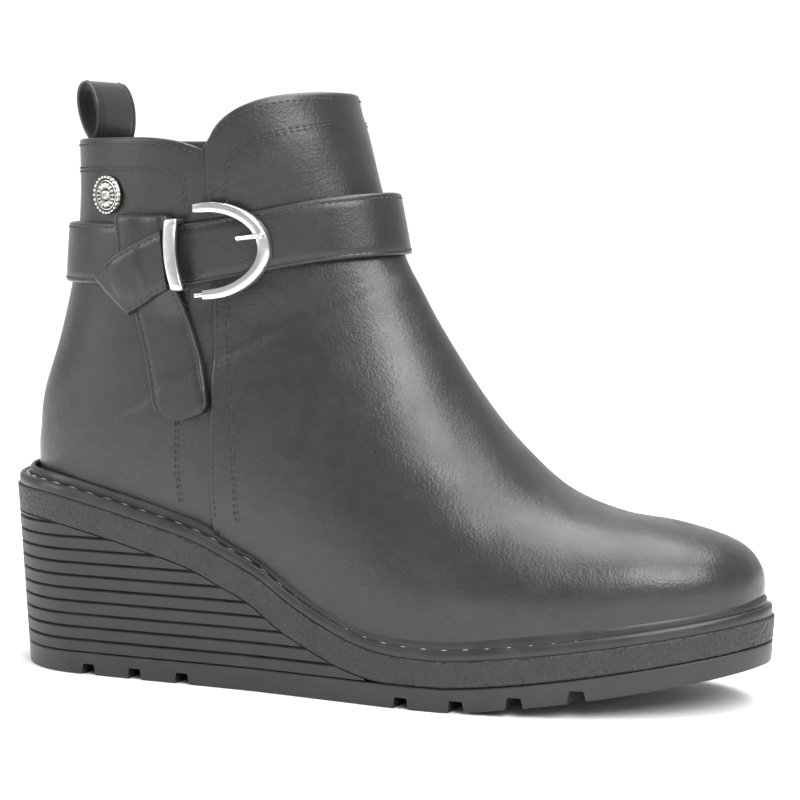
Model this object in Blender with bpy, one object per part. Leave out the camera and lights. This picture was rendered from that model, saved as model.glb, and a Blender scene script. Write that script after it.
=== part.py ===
"""Ankle boot: wedge sole, welt, hollow leather upper, ankle strap with a knotted tail, buckle and ornament.

Metres, +Z up, +X toward the toe, +Y toward the inner side of a right foot, floor at z = 0.
"""
import math

import bmesh
import bpy
from mathutils import Vector
from mathutils.bvhtree import BVHTree

# Driving sizes of the sole
SOLE_LENGTH = 0.262
BALL_WIDTH = 0.086
HEEL_WIDTH = 0.066
HEEL_STACK = 0.0633
FOREFOOT_STACK = 0.0165
TOE_SPRING = 0.014
OUTSOLE_THICKNESS = 0.0076
MIDSOLE_THICKNESS = 0.0094
SIDE_FLARE = 0.0036
GROOVE_PITCH = 0.00445
GROOVE_DEPTH = 0.0009
GROOVE_WIDTH = 0.0011
NOTCH_WIDTH = 0.0042
NOTCH_HEIGHT = 0.0038
HEEL_NOTCH_PITCH = 0.0183
FOREFOOT_NOTCH_PITCH = 0.0188
HEEL_NOTCH_START = 0.039
FOREFOOT_NOTCH_START = 0.158
NOTCH_SPREAD = 1.35
WEDGE_EDGE = 0.0012

# Driving sizes of the welt and the insole
WELT_HEIGHT = 0.0065
FLANGE_HEIGHT = 0.0038
FLANGE_SETBACK = 0.0009
BEAD_WIDTH = 0.0018
INSOLE_THICKNESS = 0.003

# Driving sizes of the upper
UPPER_INSET = 0.0036
UPPER_WALL = 0.002
COLLAR_BACK_HEIGHT = 0.182
COLLAR_FRONT_HEIGHT = 0.1968
COLLAR_NOTCH_DEPTH = 0.0045
SHAFT_WIDTH = 0.074
PANEL_STEP = 0.0012
PANEL_ROOT = 0.0008
BACKSTAY_STEP = 0.0008
BACKSTAY_WIDTH = 0.011
PANEL_SEAM_X = 0.0875

# Driving sizes of the ankle strap
STRAP_WIDTH = 0.0205
STRAP_THICKNESS = 0.0017
STRAP_BACK_HEIGHT = 0.1437
STRAP_FRONT_HEIGHT = 0.1562
STRAP_RISE_START = 0.080
STRAP_RISE_END = 0.134
STRAP_OPENING = 0.004

# Driving sizes of the knotted tail and its wrap
KNOT_X = 0.0645
TAIL_LENGTH = 0.0675
TAIL_WIDTH = 0.0208
TAIL_THICKNESS = 0.0018
WRAP_LENGTH = 0.029
WRAP_WIDTH = 0.0195
WRAP_THICKNESS = 0.0019

# Driving sizes of the pull loop
LOOP_WIDTH = 0.0246
LOOP_HEIGHT = 0.0199
LOOP_DEPTH = 0.0083
LOOP_THICKNESS = 0.0013
LOOP_TAB = 0.013
LOOP_LEAN = 0.0030

# Driving sizes of the buckle
BAR_LENGTH = 0.0238
BAR_WIDTH = 0.0047
BAR_THICKNESS = 0.0016
BAR_BULGE = 0.0013
FRAME_OFFSET = 0.0252
FRAME_HEIGHT = 0.0320
FRAME_REACH = 0.0203
FRAME_FACE = 0.0038
FRAME_THICKNESS = 0.0026
FRAME_TILT = 6.0
FRAME_ARM = 0.0032
TONGUE_LENGTH = 0.0026
PRONG_LENGTH = 0.0093
PRONG_DIAMETER = 0.0019

# Driving sizes of the round ornament
ORNAMENT_DIAMETER = 0.0129
ORNAMENT_HEIGHT = 0.0022
ORNAMENT_X = 0.0499
ORNAMENT_Z = 0.1631
ORNAMENT_LOBES = 14

# Clearances between touching pieces
GAP = 0.0003
UPPER_GAP = 0.0009
RIM_LIFT = 0.0008
WELT_GAP = 0.0005
INSOLE_CLEARANCE = 0.0015
STRAP_GAP = 0.0004
HOOK_GAP = 0.0009
KNOT_SLACK = 0.0008
SEAT_REACH = 0.003

# Mesh resolution
HEEL_STEPS = 7
SIDE_STEPS = 16
TOE_STEPS = 9
SECTION_STEPS = 11
BACK_STEPS = 5
STRAP_STEPS = 38
FRAME_STEPS = 18
LOOP_STEPS = 16
PRONG_SIDES = 8
ROWS_PER_SECTION = 2

# Plan of the sole: share of the length, centre line as a share of the ball width,
# and how far the width has passed from the heel's to the ball's
PLAN = (
    # along, centre, widening
    (0.00, 0.000, 0.00),
    (0.23, 0.000, 0.03),
    (0.38, 0.009, 0.09),
    (0.50, 0.023, 0.41),
    (0.61, 0.050, 0.83),
    (0.70, 0.086, 0.98),
    (0.80, 0.128, 1.00),
    (0.90, 0.168, 1.00),
    (1.00, 0.196, 1.00),
)

# Top of the midsole: share of the length, share of the drop from heel to forefoot
FOOT_LINE = (
    # along, height
    (0.00, 1.000),
    (0.09, 0.975),
    (0.16, 0.900),
    (0.23, 0.810),
    (0.31, 0.690),
    (0.36, 0.570),
    (0.40, 0.465),
    (0.45, 0.285),
    (0.51, 0.120),
    (0.55, 0.045),
    (0.60, 0.004),
    (0.70, 0.000),
    (1.00, 0.000),
)
SPRING_START = 0.655
SPRING_POWER = 1.25
SPRING_THINNING = 0.0015
TOE_START = 0.70
TOE_CLOSE = 0.695
HEEL_ARC = 0.5


def clamp(value, low, high):
    return max(low, min(high, value))


def read_table(table, column, position):
    """Smooth cubic through one column of a table, at a position of its first column."""
    last = len(table) - 1
    if position <= table[0][0]:
        return table[0][column]
    if position >= table[last][0]:
        return table[last][column]
    index = 0
    while table[index + 1][0] < position:
        index += 1

    def slope(row):
        before = max(row - 1, 0)
        after = min(row + 1, last)
        rise = table[after][column] - table[before][column]
        return rise / (table[after][0] - table[before][0])

    start, end = table[index], table[index + 1]
    span = end[0] - start[0]
    t = (position - start[0]) / span
    keep = 2 * t ** 3 - 3 * t ** 2 + 1
    curve = (t ** 3 - 2 * t ** 2 + t) * slope(index) * span
    curve += (t ** 3 - t ** 2) * slope(index + 1) * span
    return keep * start[column] + (1 - keep) * end[column] + curve


def spring(x):
    """Share of the toe spring at x."""
    start = SPRING_START * SOLE_LENGTH
    return clamp((x - start) / (SOLE_LENGTH - start), 0.0, 1.0) ** SPRING_POWER


def floor_line(x):
    return TOE_SPRING * spring(x)


def joint_line(x):
    """Seam between outsole and midsole or wedge."""
    return OUTSOLE_THICKNESS + (TOE_SPRING - SPRING_THINNING / 2) * spring(x)


def foot_line(x):
    """Top of the midsole, which carries the upper."""
    drop = read_table(FOOT_LINE, 1, x / SOLE_LENGTH)
    height = FOREFOOT_STACK + (HEEL_STACK - FOREFOOT_STACK) * drop
    return height + (TOE_SPRING - SPRING_THINNING) * spring(x)


def band_line(x):
    """Underside of the midsole band, whose thickness is square to the foot line."""
    step = 0.001
    slope = (foot_line(x + step) - foot_line(x - step)) / (2 * step)
    thickness = MIDSOLE_THICKNESS * math.sqrt(1 + slope ** 2)
    return max(foot_line(x) - thickness, joint_line(x) + GAP)


def plan_at(x, inset):
    """Centre line and half width of the sole at x. The inset is a function of x."""
    heel_end = inset(0.0)
    toe_end = SOLE_LENGTH - inset(SOLE_LENGTH)
    along = x / SOLE_LENGTH
    centre = read_table(PLAN, 1, along) * BALL_WIDTH
    half = 0.5 * (HEEL_WIDTH + (BALL_WIDTH - HEEL_WIDTH) * read_table(PLAN, 2, along)) - inset(x)
    heel_reach = HEEL_ARC * HEEL_WIDTH - heel_end
    toe_start = TOE_START * SOLE_LENGTH
    if x < heel_end + heel_reach:
        back = clamp((heel_end + heel_reach - x) / heel_reach, 0.0, 1.0)
        half *= math.sqrt(1 - back ** 2)
    if x > toe_start:
        front = clamp((x - toe_start) / (toe_end - toe_start), 0.0, 1.0)
        half *= math.sqrt(1 - front ** 2)
    return centre, half


def plan_stations(inset, end=None):
    """Stations along x, close together where the ends are round."""
    heel_end = inset(0.0)
    heel_reach = HEEL_ARC * HEEL_WIDTH - heel_end
    toe_start = TOE_START * SOLE_LENGTH
    toe_reach = SOLE_LENGTH - inset(SOLE_LENGTH) - toe_start
    stations = []
    for i in range(HEEL_STEPS):
        stations.append(heel_end + heel_reach * (1 - math.cos(0.5 * math.pi * i / HEEL_STEPS)))
    side_start = heel_end + heel_reach
    side_end = toe_start if end is None else end
    for i in range(SIDE_STEPS + 1):
        stations.append(side_start + (side_end - side_start) * i / SIDE_STEPS)
    if end is None:
        for i in range(1, TOE_STEPS + 1):
            stations.append(toe_start + toe_reach * math.sin(0.5 * math.pi * i / TOE_STEPS))
    return stations


def make_object(name, bm):
    """Turn a bmesh into a named object with outward faces."""
    bmesh.ops.remove_doubles(bm, verts=bm.verts, dist=1e-6)
    bmesh.ops.recalc_face_normals(bm, faces=bm.faces)
    mesh = bpy.data.meshes.new(name)
    bm.to_mesh(mesh)
    bm.free()
    obj = bpy.data.objects.new(name, mesh)
    bpy.context.scene.collection.objects.link(obj)
    return obj


def finish(obj, material, sharp=35.0):
    """Give an object its material and smooth shading with sharp edges kept."""
    obj.data.materials.append(material)
    obj.data.shade_smooth()
    obj.data.set_sharp_from_angle(angle=math.radians(sharp))


def hide_cutter(obj):
    obj.hide_render = True
    obj.display_type = "WIRE"


def add_boolean(obj, tool, operation):
    modifier = obj.modifiers.new(tool.name, "BOOLEAN")
    modifier.operation = operation
    modifier.solver = "EXACT"
    modifier.object = tool
    hide_cutter(tool)


def side_prism(name, outline, half_depth):
    """Solid of an outline in x and z, from -half_depth to +half_depth in y."""
    bm = bmesh.new()
    near = [bm.verts.new((x, -half_depth, z)) for x, z in outline]
    far = [bm.verts.new((x, half_depth, z)) for x, z in outline]
    bm.faces.new(near)
    bm.faces.new(far)
    for i in range(len(outline)):
        j = (i + 1) % len(outline)
        bm.faces.new((near[i], near[j], far[j], far[i]))
    return make_object(name, bm)


def outline_ring(bm, inset, height, end=None):
    """Vertices of one outline, in outer and inner pairs from heel to toe."""
    pairs = []
    for x in plan_stations(inset, end):
        centre, half = plan_at(x, inset)
        outer = bm.verts.new((x, centre - half, height(x)))
        inner = bm.verts.new((x, centre + half, height(x)))
        pairs.append((outer, inner))
    return pairs


def join_rings(bm, lower, upper):
    """Walls between two outlines, on both sides of the foot."""
    for i in range(len(lower) - 1):
        bm.faces.new((lower[i][0], lower[i + 1][0], upper[i + 1][0], upper[i][0]))
        bm.faces.new((lower[i + 1][1], lower[i][1], upper[i][1], upper[i + 1][1]))


def sole_stack(name, levels, end=None):
    """Solid through outlines of the sole, each an inset and a height as functions of x."""
    bm = bmesh.new()
    rings = [outline_ring(bm, inset, height, end) for inset, height in levels]
    for lower, upper in zip(rings, rings[1:]):
        join_rings(bm, lower, upper)
        if end is not None:
            bm.faces.new((lower[-1][0], lower[-1][1], upper[-1][1], upper[-1][0]))
    for ring in (rings[0], rings[-1]):
        for i in range(len(ring) - 1):
            bm.faces.new((ring[i][0], ring[i][1], ring[i + 1][1], ring[i + 1][0]))
    return make_object(name, bm)


def flare_at(height):
    """Outward lean of the sole's side at a height."""
    return SIDE_FLARE * height / HEEL_STACK


def flared(height, setback=0.0):
    """Inset of the flared side along a line of heights."""
    return lambda x: setback - flare_at(height(x))


def raised(height, amount):
    return lambda x: height(x) + amount


def make_outsole():
    """Slab with a small bevel along the floor, and channels between its lugs."""
    bevel = 0.1 * OUTSOLE_THICKNESS
    low = raised(floor_line, bevel)
    outsole = sole_stack("outsole", (
        (flared(floor_line, bevel), floor_line),
        (flared(low), low),
        (flared(joint_line), joint_line),
    ))
    for position in notch_positions():
        add_boolean(outsole, notch_cutter(position), "DIFFERENCE")
    return outsole


def notch_positions():
    """Middles of the channels, three under the heel and four under the forefoot."""
    positions = [HEEL_NOTCH_START + i * HEEL_NOTCH_PITCH for i in range(3)]
    positions += [FOREFOOT_NOTCH_START + i * FOREFOOT_NOTCH_PITCH for i in range(4)]
    return positions


def notch_cutter(x):
    """Channel across the sole, wider at the floor than at its top."""
    floor = floor_line(x)
    foot = 0.5 * NOTCH_WIDTH * NOTCH_SPREAD
    head = 0.5 * NOTCH_WIDTH
    outline = (
        (x - foot, floor - NOTCH_HEIGHT),
        (x + foot, floor - NOTCH_HEIGHT),
        (x + foot, floor),
        (x + head, floor + NOTCH_HEIGHT),
        (x - head, floor + NOTCH_HEIGHT),
        (x - foot, floor),
    )
    return side_prism("notch_cutter", outline, BALL_WIDTH)


def make_midsole():
    return sole_stack("midsole", (
        (flared(band_line), band_line),
        (flared(foot_line), foot_line),
    ))


def make_wedge():
    """Heel wedge with level grooves, cut off under the midsole band."""
    top = HEEL_STACK - MIDSOLE_THICKNESS + GROOVE_PITCH
    half = 0.5 * GROOVE_WIDTH
    levels = [(flared(joint_line), raised(joint_line, GAP))]
    height = OUTSOLE_THICKNESS + GROOVE_PITCH
    while height < top:
        for offset, depth in ((-half, 0.0), (0.0, GROOVE_DEPTH), (half, 0.0)):
            level = height + offset
            levels.append((lambda x, z=level, d=depth: d - flare_at(z), lambda x, z=level: z))
        height += GROOVE_PITCH
    front = wedge_front()
    wedge = sole_stack("wedge", levels, front)
    under = [(-BALL_WIDTH, 0.0), (-BALL_WIDTH, band_line(0.0) - GAP)]
    for i in range(SIDE_STEPS + 1):
        x = front * i / SIDE_STEPS
        under.append((x, band_line(x) - GAP))
    under.append((front + GAP, band_line(front) - GAP))
    under.append((front + GAP, 0.0))
    add_boolean(wedge, side_prism("wedge_trim", under, BALL_WIDTH), "INTERSECT")
    return wedge


def wedge_front():
    """Where the wedge has thinned to its least edge."""
    x = 0.5 * SOLE_LENGTH
    while band_line(x) - joint_line(x) > WEDGE_EDGE and x < 0.7 * SOLE_LENGTH:
        x += 0.001
    return x


def make_welt():
    """Flange with a stitch channel, and a rounded bead that hugs the upper."""
    bm = bmesh.new()
    edge = flared(foot_line, FLANGE_SETBACK)
    bead = UPPER_INSET - BEAD_WIDTH - PANEL_STEP
    inner = UPPER_INSET + 0.5 * UPPER_WALL
    section = (
        (edge, raised(foot_line, GAP)),
        (edge, raised(foot_line, 0.8 * FLANGE_HEIGHT)),
        (raised(edge, 0.2 * FLANGE_HEIGHT), raised(foot_line, FLANGE_HEIGHT)),
        (lambda x: bead, raised(foot_line, FLANGE_HEIGHT - 0.1 * WELT_HEIGHT)),
        (lambda x: bead, raised(foot_line, 0.8 * WELT_HEIGHT)),
        (lambda x: bead + 0.35 * BEAD_WIDTH, raised(foot_line, WELT_HEIGHT)),
        (lambda x: inner, raised(foot_line, WELT_HEIGHT)),
        (lambda x: inner, raised(foot_line, GAP)),
    )
    rings = [outline_ring(bm, inset, height) for inset, height in section]
    for i, ring in enumerate(rings):
        join_rings(bm, ring, rings[(i + 1) % len(rings)])
    welt = make_object("welt", bm)
    add_boolean(welt, filled_form("welt_core", WELT_GAP), "DIFFERENCE")
    front = filled_form("welt_front_core", PANEL_STEP + WELT_GAP, RIM_LIFT)
    add_boolean(front, panel_trim("welt_front_trim", PANEL_SEAM_X - WELT_GAP), "INTERSECT")
    add_boolean(welt, front, "DIFFERENCE")
    stay = filled_form("welt_stay_core", BACKSTAY_STEP + WELT_GAP, RIM_LIFT)
    add_boolean(stay, backstay_trim("welt_stay_trim", 0.5 * BACKSTAY_WIDTH + WELT_GAP), "INTERSECT")
    add_boolean(welt, stay, "DIFFERENCE")
    return welt


def make_insole():
    inset = UPPER_INSET + UPPER_WALL + INSOLE_CLEARANCE
    return sole_stack("insole", (
        (lambda x: inset, raised(foot_line, GAP)),
        (lambda x: inset, raised(foot_line, GAP + INSOLE_THICKNESS)),
    ))


# Sections of the last from the toe to above the collar. Each is a slanted plane from a foot point on
# the midsole or the back line to a front point on the vamp, the instep or the shaft.
SECTIONS = (
    # foot, climb, front, rise, width, widest, fullness, ridge
    (1.0000, 0.000, 1.0030, 0.056, 0.950, 0.30, 2.3, 0.195),
    (0.9830, 0.000, 0.9960, 0.099, 0.950, 0.30, 2.3, 0.190),
    (0.9395, 0.000, 0.9640, 0.147, 0.950, 0.30, 2.3, 0.178),
    (0.8730, 0.000, 0.8930, 0.190, 0.950, 0.30, 2.3, 0.152),
    (0.7900, 0.000, 0.8120, 0.220, 0.950, 0.30, 2.3, 0.126),
    (0.6920, 0.000, 0.7430, 0.272, 0.953, 0.30, 2.2, 0.092),
    (0.5745, 0.000, 0.6890, 0.352, 0.957, 0.31, 2.1, 0.062),
    (0.4370, 0.000, 0.6420, 0.440, 0.924, 0.33, 2.0, 0.040),
    (0.2920, 0.000, 0.6060, 0.520, 0.900, 0.35, 2.0, 0.023),
    (0.1510, 0.000, 0.5770, 0.588, 0.903, 0.37, 2.0, 0.011),
    (0.0410, 0.000, 0.5570, 0.642, 0.920, 0.38, 2.0, 0.000),
    (0.0000, 0.000, 0.5450, 0.670, 0.914, 0.38, 2.0, 0.000),
    (0.0030, 0.140, 0.5315, 0.707, 0.914, 0.39, 2.0, 0.000),
    (0.0110, 0.250, 0.5180, 0.745, 0.914, 0.40, 2.0, 0.000),
    (0.0380, 0.410, 0.5040, 0.793, 0.920, 0.42, 2.1, 0.000),
    (0.0640, 0.612, 0.4910, 0.849, 0.950, 0.44, 2.1, 0.000),
    (0.0765, 0.815, 0.4780, 0.911, 0.985, 0.46, 2.1, 0.000),
    (0.0780, 1.025, 0.4600, 0.993, 1.010, 0.47, 2.1, 0.000),
    (0.0780, 1.250, 0.4480, 1.120, 1.020, 0.48, 2.1, 0.000),
)
BACK_FULLNESS = 2.1
FIRST_SHAFT_SECTION = 11
BALL_SHARE = 0.692

# Collar seen from the outer side: share of the way from back line to seam or from seam to front,
# and share of the drop from the rear collar to the notch, or of the rise from there to the front
COLLAR_REAR = (
    # along, drop
    (-1.0, 0.0),
    (0.60, 0.0),
    (0.75, 0.1),
    (0.88, 0.4),
    (1.00, 1.0),
)
COLLAR_FRONT = (
    # along, rise
    (0.00, 0.00),
    (0.04, 0.22),
    (0.10, 0.40),
    (0.18, 0.55),
    (0.32, 0.72),
    (0.54, 0.88),
    (0.80, 0.97),
    (1.00, 1.00),
    (2.00, 1.00),
)


def section_at(position):
    """Every column of the section table at a position counted in rows."""
    index = int(clamp(math.floor(position), 0, len(SECTIONS) - 2))
    t = position - index
    before = SECTIONS[max(index - 1, 0)]
    start, end = SECTIONS[index], SECTIONS[index + 1]
    after = SECTIONS[min(index + 2, len(SECTIONS) - 1)]
    values = []
    for a, b, c, d in zip(before, start, end, after):
        value = 2 * b + (c - a) * t + (2 * a - 5 * b + 4 * c - d) * t ** 2 + (3 * b - a - 3 * c + d) * t ** 3
        values.append(0.5 * value)
    return values


def last_x(share):
    """Place along the last, from its heel end to its toe end."""
    return UPPER_INSET + share * (SOLE_LENGTH - 2 * UPPER_INSET)


def upper_inset(x):
    return UPPER_INSET


def section_curve(position):
    """Outer points of one section, from its outer foot point over the front to its inner foot point."""
    foot, climb, front, rise, width, widest, fullness, ridge = section_at(position)
    on_foot = position <= FIRST_SHAFT_SECTION
    foot_x = last_x(clamp(foot, 0.0, 1.0))
    front_x = last_x(front)
    if on_foot:
        foot_z = foot_line(foot_x) + UPPER_GAP
        foot_centre, foot_half = plan_at(foot_x, upper_inset)
    else:
        foot_z = HEEL_STACK + UPPER_GAP + climb * (COLLAR_BACK_HEIGHT - HEEL_STACK)
        foot_centre, foot_half = 0.0, 0.0
    front_z = foot_line(front_x) + rise * (COLLAR_FRONT_HEIGHT - foot_line(front_x))
    toward_shaft = clamp((BALL_SHARE - foot) / BALL_SHARE, 0.0, 1.0)
    half = 0.5 * width * (BALL_WIDTH + (SHAFT_WIDTH - BALL_WIDTH) * toward_shaft)
    if foot > TOE_CLOSE:
        half *= math.sqrt(max(1 - ((foot - TOE_CLOSE) / (1 - TOE_CLOSE)) ** 2, 0.0))
    front_centre = ridge * BALL_WIDTH
    start = 1.0
    if foot_half < half:
        start = 1 - (1 - (foot_half / half) ** BACK_FULLNESS) ** (1 / BACK_FULLNESS)
    lateral, medial = [], []
    for i in range(SECTION_STEPS + 1):
        if i < BACK_STEPS:
            q = 1 - math.cos(0.5 * math.pi * i / BACK_STEPS)
            s = widest * q
            if foot_half < half:
                q = start + (1 - start) * q
                y = half * (1 - (1 - q) ** BACK_FULLNESS) ** (1 / BACK_FULLNESS)
            else:
                y = foot_half + (half - foot_half) * q
        else:
            q = math.sin(0.5 * math.pi * (i - BACK_STEPS) / (SECTION_STEPS - BACK_STEPS))
            s = widest + (1 - widest) * q
            y = half * max(1 - q ** fullness, 0.0) ** (1 / fullness)
        x = foot_x + (front_x - foot_x) * s
        z = foot_z + (front_z - foot_z) * s
        centre = foot_centre + (front_centre - foot_centre) * s
        lateral.append(Vector((x, centre - y, z)))
        medial.append(Vector((x, centre + y, z)))
    return lateral + medial[-2::-1]


def upper_grid():
    """Outer surface of the last as a bmesh grid, and the indices of its vertices by row and column.

    It is split into triangles here, so that every form offset from it has the same diagonals.
    """
    bm = bmesh.new()
    count = (len(SECTIONS) - 1) * ROWS_PER_SECTION
    points = [section_curve(i / ROWS_PER_SECTION) for i in range(count + 1)]
    index = []
    known = {}
    for row in points:
        line = []
        for point in row:
            key = tuple(round(value, 7) for value in point)
            if key not in known:
                known[key] = bm.verts.new(point)
            line.append(known[key])
        index.append(line)
    for low, high in zip(index, index[1:]):
        for i in range(len(low) - 1):
            corners = []
            for vert in (low[i], low[i + 1], high[i + 1], high[i]):
                if vert not in corners:
                    corners.append(vert)
            if len(corners) > 2:
                bm.faces.new(corners)
    bmesh.ops.recalc_face_normals(bm, faces=bm.faces)
    bmesh.ops.triangulate(bm, faces=bm.faces, quad_method="FIXED")
    bm.normal_update()
    bm.verts.index_update()
    bm.verts.ensure_lookup_table()
    return bm, [[vert.index for vert in line] for line in index]


def foot_rim(bm):
    """Indices of the vertices along the lower edge of the grid."""
    rim = [edge for edge in bm.edges if edge.is_boundary]
    return {vert.index for edge in rim for vert in edge.verts if vert.co.z < COLLAR_BACK_HEIGHT}


def offset_grid(bm, distance, lift=0.0):
    """Points of the grid moved along its normals, with the foot rim kept on the midsole."""
    points = [vert.co + distance * vert.normal for vert in bm.verts]
    for i in foot_rim(bm):
        vert = bm.verts[i]
        flat = Vector((vert.normal.x, vert.normal.y, 0.0)).normalized()
        points[i] = vert.co + distance * flat
        points[i].z = foot_line(points[i].x) + UPPER_GAP + lift
    return points


def shell(name, outward, inward, lift=0.0):
    """Closed leather shell between two offsets of the last's surface, its foot rim lifted."""
    bm, rows = upper_grid()
    result = bmesh.new()
    outside = [result.verts.new(point) for point in offset_grid(bm, outward, lift)]
    inside = [result.verts.new(point) for point in offset_grid(bm, -inward, lift)]
    for face in bm.faces:
        order = [vert.index for vert in face.verts]
        result.faces.new([outside[i] for i in order])
        result.faces.new([inside[i] for i in reversed(order)])
    for edge in bm.edges:
        if edge.is_boundary:
            a, b = (vert.index for vert in edge.verts)
            result.faces.new((outside[a], outside[b], inside[b], inside[a]))
    bm.free()
    return make_object(name, result)


def filled_form(name, outward, lift=0.0):
    """The whole last as one solid, let down past the welt, for cutting what hugs the upper."""
    bm, rows = upper_grid()
    result = bmesh.new()
    points = offset_grid(bm, outward, lift)
    outside = [result.verts.new(point) for point in points]
    for face in bm.faces:
        result.faces.new([outside[vert.index] for vert in face.verts])
    drop = Vector((0.0, 0.0, 2 * WELT_HEIGHT))
    low = {i: result.verts.new(points[i] - drop) for i in foot_rim(bm)}
    for edge in bm.edges:
        a, b = (vert.index for vert in edge.verts)
        if edge.is_boundary and a in low:
            result.faces.new((outside[a], outside[b], low[b], low[a]))
    on_foot = [row for row in rows if row[0] in low and row[-1] in low]
    for near, far in zip(on_foot, on_foot[1:]):
        corners = []
        for i in (near[0], far[0], far[-1], near[-1]):
            if low[i] not in corners:
                corners.append(low[i])
        result.faces.new(corners)
    result.faces.new([outside[i] for i in rows[-1][:-1]])
    bm.free()
    return make_object(name, result)


def collar_height(x):
    """Height of the top edge over x."""
    back = last_x(SECTIONS[-2][0])
    front = last_x(SECTIONS[-2][2])
    notch = COLLAR_BACK_HEIGHT - COLLAR_NOTCH_DEPTH
    if x < PANEL_SEAM_X:
        drop = read_table(COLLAR_REAR, 1, (x - back) / (PANEL_SEAM_X - back))
        return COLLAR_BACK_HEIGHT - drop * (COLLAR_BACK_HEIGHT - notch)
    rise = read_table(COLLAR_FRONT, 1, (x - PANEL_SEAM_X) / (front - PANEL_SEAM_X))
    return notch + rise * (COLLAR_FRONT_HEIGHT - notch)


def panel_trim(name, seam):
    """Everything ahead of the seam."""
    high = 2 * COLLAR_FRONT_HEIGHT
    far = 2 * SOLE_LENGTH
    return side_prism(name, ((seam, -high), (far, -high), (far, high), (seam, high)), BALL_WIDTH)


def backstay_trim(name, half):
    """Everything within a narrow strip up the middle of the heel."""
    high = 2 * COLLAR_FRONT_HEIGHT
    reach = last_x(0.0) + BACKSTAY_WIDTH
    outline = ((-reach, -high), (2.5 * reach, -high), (2.5 * reach, high), (-reach, high))
    return side_prism(name, outline, half)


def front_panel():
    """Front panel and vamp, the part of the shell ahead of the seam."""
    panel = shell("panel_form", PANEL_STEP, PANEL_ROOT, RIM_LIFT)
    add_boolean(panel, panel_trim("panel_trim", PANEL_SEAM_X), "INTERSECT")
    return panel


def backstay():
    stay = shell("backstay_form", BACKSTAY_STEP, PANEL_ROOT, RIM_LIFT)
    add_boolean(stay, backstay_trim("backstay_trim", 0.5 * BACKSTAY_WIDTH), "INTERSECT")
    return stay


def make_upper():
    """Leather shell with the front panel and the backstay laid over it, cut off at the collar."""
    upper = shell("upper", 0.0, UPPER_WALL)
    add_boolean(upper, front_panel(), "UNION")
    add_boolean(upper, backstay(), "UNION")
    add_boolean(upper, collar_cutter(), "DIFFERENCE")
    return upper


def collar_cutter():
    """Everything above the top edge of the upper."""
    high = 2 * COLLAR_FRONT_HEIGHT
    outline = [(-HEEL_WIDTH, high), (-HEEL_WIDTH, collar_height(-HEEL_WIDTH))]
    steps = 12
    back = last_x(SECTIONS[-2][0])
    front = last_x(SECTIONS[-2][2])
    for i in range(steps + 1):
        x = back + (PANEL_SEAM_X - GAP - back) * i / steps
        outline.append((x, collar_height(x)))
    for i in range(steps + 1):
        x = PANEL_SEAM_X - GAP / 2 + (front - PANEL_SEAM_X) * (i / steps) ** 1.8
        outline.append((x, collar_height(max(x, PANEL_SEAM_X))))
    outline.append((2 * SOLE_LENGTH, COLLAR_FRONT_HEIGHT))
    outline.append((2 * SOLE_LENGTH, high))
    return side_prism("collar_trim", outline, BALL_WIDTH)


# Columns across a strap: share of its half width, share of its thickness
BAND_COLUMNS = (
    # across, thickness
    (-1.00, 0.45),
    (-0.92, 1.00),
    (0.92, 1.00),
    (1.00, 0.45),
)
STRIP_COLUMNS = (
    # across, thickness
    (-1.00, 0.45),
    (-0.92, 1.00),
    (-0.45, 1.00),
    (0.00, 1.00),
    (0.45, 1.00),
    (0.92, 1.00),
    (1.00, 0.45),
)

# Tail of the strap: share of its length from the fold, sideways shift and width as shares of its width
TAIL_ROWS = (
    # along, shift, width
    (0.00, 0.000, 1.01),
    (0.08, 0.024, 0.96),
    (0.18, 0.034, 0.90),
    (0.39, 0.178, 0.93),
    (0.50, 0.267, 0.94),
    (0.66, 0.416, 0.98),
    (0.81, 0.526, 1.02),
    (0.90, 0.590, 1.03),
    (0.95, 0.600, 0.92),
    (0.98, 0.570, 0.64),
    (1.00, 0.530, 0.26),
)

# Diagonal wrap from the bar to its fold: upper and lower edge from the knot's middle, the x columns as
# shares of the wrap's length and the z columns as shares of its width
WRAP_ROWS = (
    # upper_x, upper_z, lower_x, lower_z
    (0.320, 0.408, 0.390, -0.592),
    (0.103, 0.272, 0.240, -0.700),
    (-0.117, 0.126, 0.076, -0.838),
    (-0.421, -0.115, -0.059, -0.954),
    (-0.603, -0.318, -0.114, -0.985),
)

# Rings of the ornament from its back to its boss: radius and height on a lobe and between lobes,
# as shares of half the diameter and of the height
ORNAMENT_RINGS = (
    # lobe_radius, gap_radius, lobe_height, gap_height
    (0.97, 0.91, 0.00, 0.00),
    (1.00, 0.92, 0.35, 0.30),
    (0.95, 0.88, 0.75, 0.50),
    (0.80, 0.80, 0.45, 0.45),
    (0.68, 0.68, 0.72, 0.42),
    (0.38, 0.38, 0.80, 0.50),
    (0.29, 0.29, 0.45, 0.45),
    (0.20, 0.20, 0.90, 0.90),
    (0.10, 0.10, 1.00, 1.00),
)


def ribbon(name, inner, outer):
    """Closed strip between a grid of inner points and a grid of outer points."""
    bm = bmesh.new()
    low = [[bm.verts.new(point) for point in row] for row in inner]
    high = [[bm.verts.new(point) for point in row] for row in outer]
    columns = len(low[0])
    for i in range(len(low) - 1):
        for j in range(columns - 1):
            bm.faces.new((low[i][j], low[i][j + 1], low[i + 1][j + 1], low[i + 1][j]))
            bm.faces.new((high[i][j], high[i + 1][j], high[i + 1][j + 1], high[i][j + 1]))
        for j in (0, -1):
            bm.faces.new((low[i][j], low[i + 1][j], high[i + 1][j], high[i][j]))
    for i in (0, -1):
        for j in range(columns - 1):
            bm.faces.new((low[i][j], low[i][j + 1], high[i][j + 1], high[i][j]))
    return make_object(name, bm)


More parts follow.
